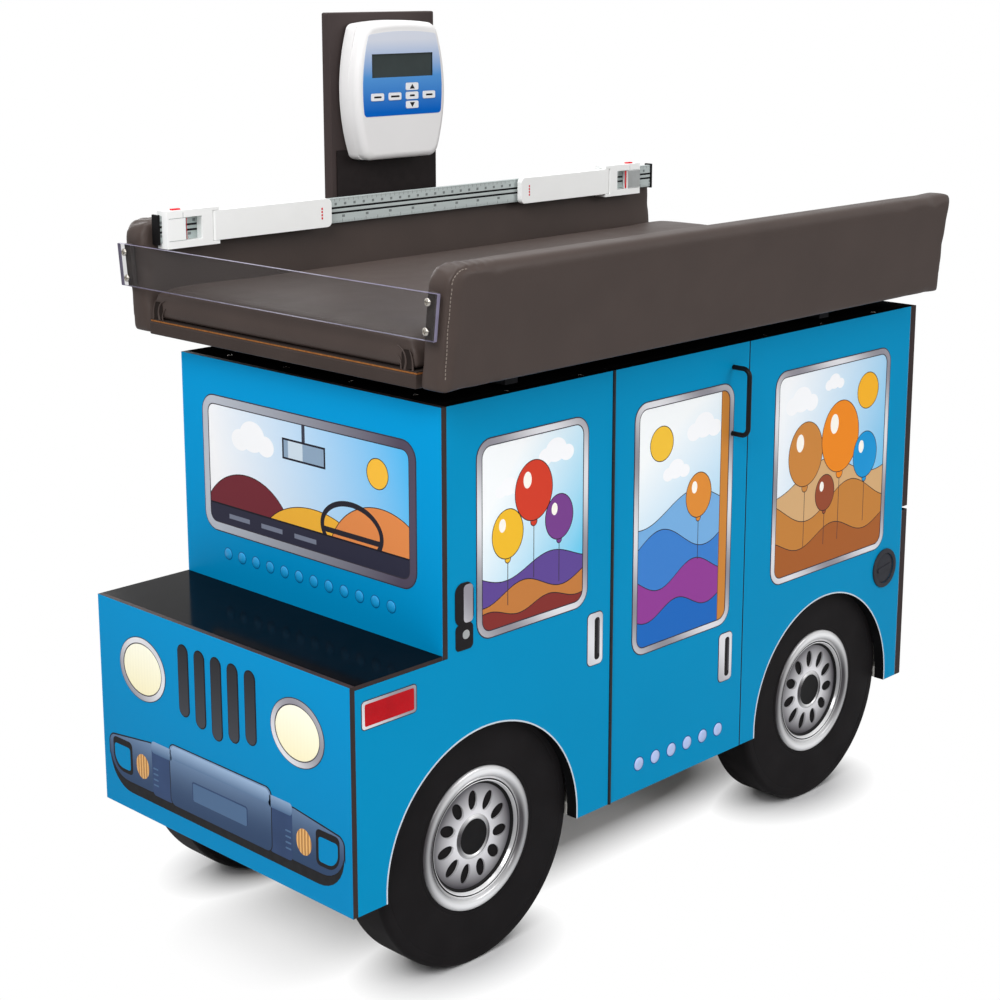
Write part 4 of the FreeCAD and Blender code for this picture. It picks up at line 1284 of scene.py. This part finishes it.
class SCALETABLE_OT_upholstery(bpy.types.Operator):
    """Pads and covers the tray"""
    bl_idname = "scale_table.upholstery"
    bl_label = "Tray upholstery"

    def swell(self, piece, voxel, limit):
        """Blows the padding up a little with cloth pressure and keeps it inside its room"""
        apply_modifier(piece, "REMESH", mode="VOXEL", voxel_size=voxel)
        rest = [point.co.copy() for point in piece.data.vertices]
        only(piece)
        modifier = piece.modifiers.new("Cloth", "CLOTH")
        cloth = modifier.settings
        cloth.quality = 4
        cloth.mass = 0.3
        cloth.use_pressure = True
        cloth.uniform_pressure_force = 4
        cloth.effector_weights.gravity = 0
        modifier.collision_settings.use_collision = False
        for step in range(1, 21):
            bpy.context.scene.frame_set(step)
        bpy.ops.object.modifier_apply(modifier=modifier.name)
        bpy.context.scene.frame_set(1)
        most = sizes().pad_swell
        for point, start in zip(piece.data.vertices, rest):
            move = point.co - start
            if move.length > most:
                move *= most / move.length
            point.co = limit(start + move, start)
        apply_modifier(piece, "SMOOTH", factor=0.5, iterations=3)
        apply_modifier(piece, "SUBSURF", levels=1, render_levels=1)

    def bolster(self, name, node, side):
        low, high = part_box(node)
        inner, outer, draw = 0.286, 0.334, 0.0015
        front_bend, rear_bend = 0.03, 0.012
        ends = sorted((middle_y + side * (inner + draw), middle_y + side * (outer - draw)))
        piece = block(Vector((low.x + draw, ends[0], low.z)), Vector((high.x - draw, ends[1], high.z - draw)))
        tall = high.z - draw - low.z
        pick(piece, "VERT", lambda place: place.z > low.z + tall / 2)
        bpy.ops.transform.translate(value=(0, side * BOLSTER_LEAN * tall, 0))
        for end, bend in ((low.x, front_bend), (high.x, rear_bend)):
            pick(piece, "VERT", lambda place: abs(place.x - end) < 0.01 and place.z > low.z + tall - 0.001)
            bpy.ops.mesh.select_mode(type="EDGE")
            bpy.ops.mesh.bevel(offset=bend, segments=6, affect="EDGES")
        # Every edge but the crosswise ones and the foot
        pick(piece, "EDGE", lambda first, second:
             abs(first.y - second.y) <= 0.03 and max(first.z, second.z) >= low.z + 0.001)
        bpy.ops.mesh.bevel(offset=0.007, segments=3, affect="EDGES")
        close_mesh()

        def across(place):
            return side * (place.y - middle_y) - BOLSTER_LEAN * (place.z - low.z)

        def limit(place, start):
            place.x = start.x + 0.25 * (place.x - start.x)
            place.z = start.z + 0.25 * (place.z - start.z)
            inside = min(max(across(place), inner + 0.0004), outer + 0.001)
            place.y = middle_y + side * (inside + BOLSTER_LEAN * (place.z - low.z))
            place.z = min(max(place.z, low.z), high.z)
            place.x = min(max(place.x, low.x), high.x)
            return place

        self.swell(piece, sizes().pad_voxel * 0.84, limit)
        # A seam groove beside the front end, and gathers over its top corner
        groove_depth, groove_place, groove_width = 0.0014, 0.0075, 0.0026
        gather_depth, gather_place, gather_reach = 0.0016, 0.03, 0.07
        for point in piece.data.vertices:
            place = point.co
            out, inside = across(place), self.from_end(place, low, high, front_bend)
            if out > outer - 0.006 and place.x < low.x + 0.06:
                place.y -= side * groove_depth * math.exp(-((inside - groove_place) / groove_width) ** 2)
            if inside < 0.012 and place.z > high.z - 0.05:
                gather = max(0.0, 1 - abs(place.x - low.x - gather_place) / gather_reach)
                place.z -= gather_depth * gather * (0.5 + 0.5 * math.sin(place.x * 420 + out * 160))
        dress(piece, name, "cabinet", ("vinyl",), angle=80)
        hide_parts(node, "bolster_boards")
        self.stitches(piece, name + "_stitches", side, low, high, front_bend, outer)

    def from_end(self, place, low, high, bend):
        """How far a point of a bolster's side lies inside its front end"""
        if place.z > high.z - bend and place.x < low.x + bend:
            return bend - math.hypot(place.x - low.x - bend, place.z - high.z + bend)
        return min(place.x - low.x, high.z - place.z) if place.x > low.x + bend else place.x - low.x

    def stitches(self, cover, name, side, low, high, bend, outer):
        """A row of stitches beside the seam at the front end, up and round its top corner"""
        half = Vector((0.0006, 0.0006, 0.0017))
        stitch = block(-half, half)
        bpy.ops.mesh.bevel(offset=0.0003, segments=1, affect="EDGES")
        close_mesh()
        inset, pitch = 0.0085, 0.0052
        path = []
        height = low.z + 0.02
        while height < high.z - bend:
            path.append((low.x + inset, height, 0.0))
            height += pitch
        steps = int((bend - inset) * math.pi / 2 / pitch * 1.2)
        for step in range(1, steps + 1):
            turn = math.pi / 2 * step / steps
            path.append((low.x + bend - (bend - inset) * math.cos(turn),
                         high.z - bend + (bend - inset) * math.sin(turn), turn))
        places = []
        for along, height, turn in path:
            reach = outer + 0.02 + BOLSTER_LEAN * (height - low.z)
            outside = Vector((along, middle_y + side * reach, height))
            hit, seat, *_ = cover.ray_cast(outside, Vector((0, -side, 0)))
            if not hit:
                raise RuntimeError("a stitch found no cover under it")
            places.append(seat)
        turns = [(-side * math.atan(BOLSTER_LEAN), turn, 0) for along, height, turn in path]
        dress(copies(stitch, places, turns), name, "cabinet", ("stitch_thread",))

    def pad(self):
        low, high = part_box("tray_pad")
        draw, end_draw, thick = 0.004, 0.001, 0.042
        piece = block(low + Vector((end_draw, draw, 0)),
                      Vector((high.x - end_draw, high.y - draw, low.z + thick)))
        pick(piece, "EDGE", lambda first, second: min(first.z, second.z) > low.z + 0.02)
        bpy.ops.mesh.bevel(offset=0.012, segments=4, affect="EDGES")
        close_mesh()

        def limit(place, start):
            place.z = min(max(place.z, low.z), high.z)
            place.y = min(max(place.y, low.y + 0.0002), high.y - 0.0002)
            if min(start.x - low.x, high.x - start.x) < 0.03:
                place.x = start.x
                if start.z < low.z + 0.03:
                    place.y = start.y
            place.x = min(max(place.x, low.x), high.x)
            return place

        self.swell(piece, sizes().pad_voxel * 1.35, limit)
        middle, half, crown = (low.y + high.y) / 2, (high.y - low.y) / 2, 0.006
        for point in piece.data.vertices:
            place = point.co
            if place.z > low.z + 0.03:
                place.z += crown * max(0.0, 1 - ((place.y - middle) / half) ** 2)
        dress(piece, "tray_cushion", "cabinet", ("vinyl",), angle=80)
        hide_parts("tray_pad")
        self.tucks(low, high, middle, half - draw)

    def fold(self, knots, radius):
        """A soft ridge of drawn cover through these points, thin at its upper end"""
        def shape(index, point):
            point.handle_left_type = "AUTO"
            point.handle_right_type = "AUTO"
            point.radius = 1 - 0.7 * index / (len(knots) - 1)

        return tube(knots, radius, 3, 6, shape)

    def tucks(self, low, high, middle, half):
        """Pleats where the cover is drawn round the pad's corners, with painted shade in their pockets"""
        for end, way, turn, place in ((low.x, -1, ON_FRONT, "front"), (high.x, 1, ON_REAR, "rear")):
            for side, hand in ((-1, "near"), (1, "far")):
                def at(aside, rise, out=0.0):
                    return Vector((end + way * out, middle + side * (half - aside), low.z + rise))

                name = "tray_cushion_%s_%s" % (place, hand)
                # The pocket is a dark patch of painted shade where the fold draws in
                pocket = rounded_panel(0.020, 0.026, 0.007, 0.0008, 0.0003)
                fit(pocket, turn, at(0.0145, 0.0135, -0.0008), name + "_pocket", "cabinet",
                    "tuck_shade")
                ridges = [self.fold([at(*knot) for knot in knots], radius) for radius, *knots in (
                    (0.0019, (0.018, 0.0), (0.016, 0.012), (0.021, 0.024), (0.032, 0.030)),
                    (0.0014, (0.025, 0.0), (0.026, 0.009), (0.032, 0.018)),
                    (0.0017, (0.003, 0.0), (0.004, 0.014), (0.010, 0.029)))]
                dress(join(ridges), name + "_folds", "cabinet", ("vinyl",), angle=80)

    def execute(self, context):
        self.bolster("near_bolster_padding", "near_bolster", -1)
        self.bolster("far_bolster_padding", "far_bolster", 1)
        self.pad()
        dress_node("tray_base", "tray_base_wrapped", "cabinet", ("vinyl_shaded",), 0.0025, 3)
        finish_nodes("plywood", "pad_board")
        return {"FINISHED"}


class SCALETABLE_OT_end_stop(bpy.types.Operator):
    """Fits the clear end stop with its strips and screws"""
    bl_idname = "scale_table.end_stop"
    bl_label = "Clear end stop"

    def execute(self, context):
        def choose(normal, centre):
            return 0 if abs(normal.x) > 0.9 else 1

        edge = 0.0008
        dress_node("end_stop", "end_stop_plate", "cabinet",
                   ("clear_acrylic", "acrylic_edge"), edge, choose=choose)
        dress_node("end_stop_strips", "end_stop_strips_soft", "cabinet", ("dark_strip",),
                   edge)
        low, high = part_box("end_stop")
        tray_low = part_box("tray_base")[0].z
        across, inset = 0.310, 0.012
        screw = screw_head(0.0056, 0.0026)
        lay_on(screw, ON_FRONT, (0, 0, 0))
        places = [(low.x, middle_y + side * (across + BOLSTER_LEAN * (height - tray_low)), height)
                  for side in (-1, 1) for height in (low.z + inset, high.z - inset)]
        dress(copies(screw, places), "end_stop_screw_heads", "cabinet", ("screw_steel",))
        return {"FINISHED"}


class SCALETABLE_OT_rod(bpy.types.Operator):
    """Dresses the measuring rod: rail, end caps, sliders and arms"""
    bl_idname = "scale_table.rod"
    bl_label = "Measuring rod"

    def trim(self, name, body, first, second, shown, edge):
        """A small bevelled block between two corners"""
        piece = block(Vector(map(min, first, second)), Vector(map(max, first, second)))
        bpy.ops.mesh.bevel(offset=edge, segments=2, affect="EDGES")
        close_mesh()
        dress(piece, name, body, (shown,))

    def slider(self, node, way):
        dress_node(node, node + "_shell", node, ("rod_plastic",), 0.0012, 3)
        low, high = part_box(node)
        bottom, top, middle = low.z, high.z, (low.z + high.z) / 2
        free = low.x if way > 0 else high.x
        hairline = 0.001 if way > 0 else 0.0034
        seam = (-0.0003, 0.0004, "seam_grey", 0.0001)
        # Part, start and end from the free end, bottom, top, front, back, finish and edge
        rows = [
            ("window", 0.0349, 0.0641, middle - 0.0166, middle + 0.0166,
             0.0028, 0.0042, "lens_clear", 0.0003),
            ("hairline", 0.0361, 0.0361 + hairline, middle - 0.016, middle + 0.016,
             0.0022, 0.0027, "red_mark", 0.0001),
            ("top_seam", 0.003, 0.0335, top - 0.0118, top - 0.0110, *seam),
            ("low_seam", 0.003, 0.0335, bottom + 0.0110, bottom + 0.0118, *seam),
            ("side_seam", 0.0330, 0.0337, bottom + 0.0112, top - 0.0112, *seam),
            ("latch_seam", 0.0285, 0.0292, top - 0.0112, top - 0.0035, *seam),
            ("tab", 0.014, 0.030, top - 0.001, top + 0.0022, 0.006, 0.013, "red_mark", 0.0008)]
        if way < 0:
            rows.append(("plate", 0.0005, 0.0325, middle - 0.0155, middle + 0.0155,
                         -0.0007, 0.0004, "plate_grey", 0.0002))
        for part, start, end, under, over, front, back, shown, edge in rows:
            self.trim(node + "_" + part, node, Vector((free + way * start, low.y + front, under)),
                      Vector((free + way * end, low.y + back, over)), shown, edge)

    def arm(self, node, way):
        dress_node(node, node + "_blade", node, ("rod_plastic",), 0.0014, 3,
                   angle=40, limit=40)
        low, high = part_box(node)
        tip, middle = high.x if way < 0 else low.x, (low.z + high.z) / 2
        pitch = 0.005
        for index in range(4):
            rise = middle + index * pitch
            self.trim(node + "_mark_%d" % (index + 1), node,
                      Vector((tip + way * 0.0215, low.y - 0.0002, rise - 0.0095)),
                      Vector((tip + way * 0.0185, low.y + 0.0004, rise - 0.0060)), "red_mark", 0.0002)

    def execute(self, context):
        low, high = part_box("measuring_rail")

        def choose(normal, centre):
            deep = low.y + 0.0008 < centre.y < low.y + 0.004
            if deep and abs(centre.z - (low.z + high.z) / 2) < 0.0062:
                return 2
            return 0 if normal.y < -0.6 else 1

        dress_node("measuring_rail", "measuring_rail_scale", "cabinet",
                   ("rail_scale", "anodised", "groove_black"), 0.0004, 1, choose)
        dress_node("rail_end_caps", "rail_end_caps_soft", "cabinet", ("hub_black",),
                   0.0012, 3)
        self.slider("left_slider", 1)
        self.slider("right_slider", -1)
        self.arm("left_arm", -1)
        self.arm("right_arm", 1)
        return {"FINISHED"}


class SCALETABLE_OT_upright(bpy.types.Operator):
    """Wraps the upright board and finishes its plate and the weighing works"""
    bl_idname = "scale_table.upright"
    bl_label = "Upright and works"

    def execute(self, context):
        dress_node("upright_board", "upright_wrapped", "cabinet", ("board_wrap",), 0.003, 4)
        dress_node("mounting_plate", "mounting_plate_soft", "cabinet", ("plate_black",),
                   0.0006)
        finish_nodes("powder_black", "weigh_beams")
        finish_nodes("load_black", "load_cells")
        return {"FINISHED"}


class SCALETABLE_OT_display(bpy.types.Operator):
    """Moulds the display's shell and dresses its face, screen and keys"""
    bl_idname = "scale_table.display"
    bl_label = "Display"

    HALF_WIDTH = 0.1

    def outline(self, tall):
        """A barrel-sided outline with a bowed top and round corners, flat in the work plane"""
        end_half, bow = 0.079, 0.006
        piece = primitive("plane", size=1)
        open_mesh(piece)
        bpy.ops.mesh.subdivide(number_cuts=9)
        bpy.ops.mesh.select_mode(type="FACE")
        bpy.ops.mesh.dissolve_faces()
        mesh = bmesh.from_edit_mesh(piece.data)
        for point in mesh.verts:
            across, up = point.co.x * 2, point.co.y * 2
            lift = bow * (1 - across ** 2) * (up + 1) / 2
            point.co.x = across * (self.HALF_WIDTH - (self.HALF_WIDTH - end_half) * up ** 2)
            point.co.y = -tall / 2 + (tall - bow) * (up + 1) / 2 + lift
        bmesh.update_edit_mesh(piece.data)
        pick(piece, "VERT", lambda place: abs(place.y) > 0.1 and abs(place.x) > end_half - 0.0015)
        bpy.ops.mesh.bevel(offset=0.013, segments=6, affect="VERTICES", clamp_overlap=False)
        return piece

    def shell(self):
        low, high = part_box("display_front")
        middle = centre_of("display_front").z
        tall, depth, bend = high.z - low.z, high.y - low.y, sizes().housing_round
        piece = self.outline(tall)
        bpy.ops.mesh.select_mode(type="FACE")
        bpy.ops.mesh.select_all(action="SELECT")
        raise_by(depth - bend - 0.0003)
        inside, over, steps = 0.0, 0.0, 7
        for step in range(1, steps + 1):
            turn = math.pi / 2 * step / steps
            next_inside, next_over = bend * (1 - math.cos(turn)), bend * math.sin(turn)
            raise_by(next_over - over)
            shares = [(half - next_inside) / (half - inside) for half in (self.HALF_WIDTH, tall / 2)]
            bpy.ops.transform.resize(value=(shares[0], shares[1], 1), center_override=(0, 0, 0))
            inside, over = next_inside, next_over
        pick(piece, "FACE", lambda *places: max(place.z for place in places) < 0.0005)
        bpy.ops.mesh.delete(type="FACE")
        seal()
        apply_modifier(piece, "SOLIDIFY", thickness=0.0022, offset=-1)
        screen, keys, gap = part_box("display_screen"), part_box("key_down"), 0.002
        bottom, top = keys[0].z - gap - middle, screen[1].z + gap - middle
        opening = primitive("cube", size=1)
        opening.scale = (screen[1].x - screen[0].x + 2 * gap, top - bottom, 0.02)
        opening.location = (0, (top + bottom) / 2, depth)
        cut(piece, opening)
        lay_on(piece, ON_NEAR, (centre_of("display_back").x, high.y, middle))
        dress(piece, "display_shell", "cabinet", ("housing_plastic",), angle=40)
        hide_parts("display_front")

    def symbols(self):
        """Arrows and plain bars on the keys"""
        lift = 0.00015
        for node, turn, drop in (("key_up", 0.0, -0.0012), ("key_down", math.pi, 0.0012)):
            piece = primitive("circle", vertices=3, radius=0.0052, fill_type="NGON", rotation=(0, 0, turn))
            piece.scale = (1.25, 1, 1)
            freeze(piece)
            open_mesh(piece)
            raise_by(lift)
            seal()
            middle = centre_of(node)
            fit(piece, ON_NEAR, (middle.x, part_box(node)[0].y, middle.z + drop), node + "_arrow", node,
                "key_ink")
        for node, width in (("key_units", 0.016), ("key_hold", 0.019), ("key_enter", 0.011),
                            ("key_power", 0.015)):
            middle = centre_of(node)
            piece = rounded_panel(width, 0.003, 0.0012, lift)
            fit(piece, ON_NEAR, (middle.x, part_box(node)[0].y, middle.z), node + "_bar", node,
                "key_ink")

    def execute(self, context):
        self.shell()
        dress_node("display_back", "display_back_shell", "cabinet", ("housing_plastic",),
                   0.0006)
        dress_node("display_face", "display_face_film", "cabinet", ("face_film",), angle=15)
        finish_nodes("screen_glass", "display_screen")
        finish_nodes("circuit_green", "display_circuit")
        for node in ("key_units", "key_hold", "key_up", "key_enter", "key_down", "key_power"):
            dress_node(node, node + "_cap", node, ("key_white",), 0.0004)
        self.symbols()
        return {"FINISHED"}


class SCALETABLE_OT_stage(bpy.types.Operator):
    """Lays the floor and sets the lamps, the sky and the camera"""
    bl_idname = "scale_table.stage"
    bl_label = "Stage"

    def lamp(self, name, place, target_height, size, power):
        data = bpy.data.lights.new(name, "AREA")
        data.shape = "DISK"
        data.size = size
        data.energy = power
        lamp = bpy.data.objects.new(name, data)
        lamp.location = place
        way = Vector((0, 0, target_height)) - Vector(place)
        lamp.rotation_euler = way.to_track_quat("-Z", "Y").to_euler()
        bpy.context.scene.collection.objects.link(lamp)

    def reach(self, made, spans, halves, power):
        """How far out a place lies, as a share of the half sizes"""
        shares = [made.math("POWER", made.math("DIVIDE", span, half), power)
                  for span, half in zip(spans, halves)]
        return made.math("POWER", made.math("ADD", *shares), 1 / power)

    def floor(self):
        """A pale floor that goes over into the white ground outside the shadow"""
        floor = primitive("plane", size=60)
        floor.name = "floor"
        made = Finish("floor_paper")
        made.set(colour=made.mottled(ink(214, 214, 215), 0.006, 2), rough=0.9)
        low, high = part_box("tyre_front_near")[0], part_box("tyre_rear_far")[1]
        places = made.axes()
        wheels = (0.4035, 0.223)
        spans = [made.math("ABSOLUTE", made.math("SUBTRACT", places[axis], (low[axis] + high[axis]) / 2))
                 for axis in (0, 1)]
        gaps = [made.math("ABSOLUTE", made.math("SUBTRACT", span, half)) for span, half in zip(spans, wheels)]
        under = made.ramp(self.reach(made, spans, (0.56, 0.15), 4), 0.6, 1.25)
        beside = made.ramp(self.reach(made, gaps, (0.17, 0.11), 2), 0.45, 1.1)
        far = made.math("MINIMUM", under, beside)
        white = made.add("Emission")
        white.inputs[0].default_value = WHITE
        seen = made.add("MixShader")
        share = made.math("MULTIPLY", far, made.add("LightPath").outputs["Is Camera Ray"])
        for socket, value in zip(seen.inputs, (share, made.shader.outputs[0], white.outputs[0])):
            made.feed(socket, value)
        made.feed(made.tree.nodes["Material Output"].inputs[0], seen.outputs[0])
        floor.data.materials.append(made.material)

    def sky(self, strength):
        """Even light from all round, seen as plain white"""
        world = bpy.data.worlds.new("studio")
        bpy.context.scene.world = world
        world.use_nodes = True
        tree = world.node_tree
        base, bright = tree.nodes["Background"], tree.nodes.new("ShaderNodeBackground")
        for node, power in ((base, strength), (bright, 1)):
            node.inputs[0].default_value = WHITE
            node.inputs[1].default_value = power
        path = tree.nodes.new("ShaderNodeLightPath")
        share = path.outputs["Is Camera Ray"]
        for ray in ("Is Glossy Ray", "Is Transmission Ray"):
            seen = tree.nodes.new("ShaderNodeMath")
            seen.operation = "ADD"
            seen.use_clamp = True
            tree.links.new(share, seen.inputs[0])
            tree.links.new(path.outputs[ray], seen.inputs[1])
            share = seen.outputs[0]
        mixed = tree.nodes.new("ShaderNodeMixShader")
        for socket, value in zip(mixed.inputs, (share, base.outputs[0], bright.outputs[0])):
            tree.links.new(value, socket)
        tree.links.new(mixed.outputs[0], tree.nodes["World Output"].inputs[0])

    def execute(self, context):
        scene, stage = context.scene, context.scene.scale_table_stage
        self.floor()
        self.sky(stage.sky_strength)
        self.lamp("key_lamp", (-3.2, -1.6, 3.0), 0.6, 2.2, stage.key_power)
        self.lamp("fill_lamp", (1.6, -3.6, 2.2), 0.6, 2.4, stage.fill_power)
        self.lamp("top_lamp", (-0.4, 0.4, 4.2), 0.5, 3.0, stage.top_power)
        self.lamp("back_lamp", (0.7, 4.1, 2.3), 0.6, 2.4, stage.back_power)
        data = bpy.data.cameras.new("camera")
        data.lens = stage.camera_lens
        data.sensor_width = 36
        data.shift_y = stage.camera_shift
        camera = bpy.data.objects.new("camera", data)
        camera.location = stage.camera_place
        camera.rotation_euler = (math.radians(90) - stage.camera_pitch, 0, -stage.camera_yaw)
        scene.collection.objects.link(camera)
        scene.camera = camera
        scene.view_settings.view_transform = "Standard"
        return {"FINISHED"}


class SCALETABLE_PT_pieces(bpy.types.Panel):
    """Lists the pieces of the scale table"""
    bl_idname = "SCALETABLE_PT_pieces"
    bl_label = "Scale table"
    bl_space_type = "VIEW_3D"
    bl_region_type = "UI"
    bl_category = "Scale Table"

    def draw(self, context):
        for group in (colours(), sizes(), context.scene.scale_table_stage):
            column = self.layout.column(align=True)
            for name in group.__annotations__:
                column.prop(group, name)
        for operator in PIECES:
            self.layout.operator(operator.bl_idname)


PIECES = (
    SCALETABLE_OT_boards,
    SCALETABLE_OT_windows,
    SCALETABLE_OT_bus_front,
    SCALETABLE_OT_side_trim,
    SCALETABLE_OT_wheels,
    SCALETABLE_OT_pulls,
    SCALETABLE_OT_upholstery,
    SCALETABLE_OT_end_stop,
    SCALETABLE_OT_rod,
    SCALETABLE_OT_upright,
    SCALETABLE_OT_display,
    SCALETABLE_OT_stage,
)
GROUPS = (ScaleTableColours, ScaleTableSizes, ScaleTableStage)


def register():
    for item in GROUPS + PIECES + (SCALETABLE_PT_pieces,):
        bpy.utils.register_class(item)
    bpy.types.Scene.scale_table_colours = bpy.props.PointerProperty(type=ScaleTableColours)
    bpy.types.Scene.scale_table_sizes = bpy.props.PointerProperty(type=ScaleTableSizes)
    bpy.types.Scene.scale_table_stage = bpy.props.PointerProperty(type=ScaleTableStage)


def unregister():
    del bpy.types.Scene.scale_table_stage
    del bpy.types.Scene.scale_table_sizes
    del bpy.types.Scene.scale_table_colours
    for item in reversed(GROUPS + PIECES + (SCALETABLE_PT_pieces,)):
        bpy.utils.unregister_class(item)


def main():
    register()
    bpy.ops.scale_table.boards()
    bpy.ops.scale_table.windows()
    bpy.ops.scale_table.bus_front()
    bpy.ops.scale_table.side_trim()
    bpy.ops.scale_table.wheels()
    bpy.ops.scale_table.pulls()
    bpy.ops.scale_table.upholstery()
    bpy.ops.scale_table.end_stop()
    bpy.ops.scale_table.rod()
    bpy.ops.scale_table.upright()
    bpy.ops.scale_table.display()
    bpy.ops.scale_table.stage()


if __name__ == "__main__":
    main()
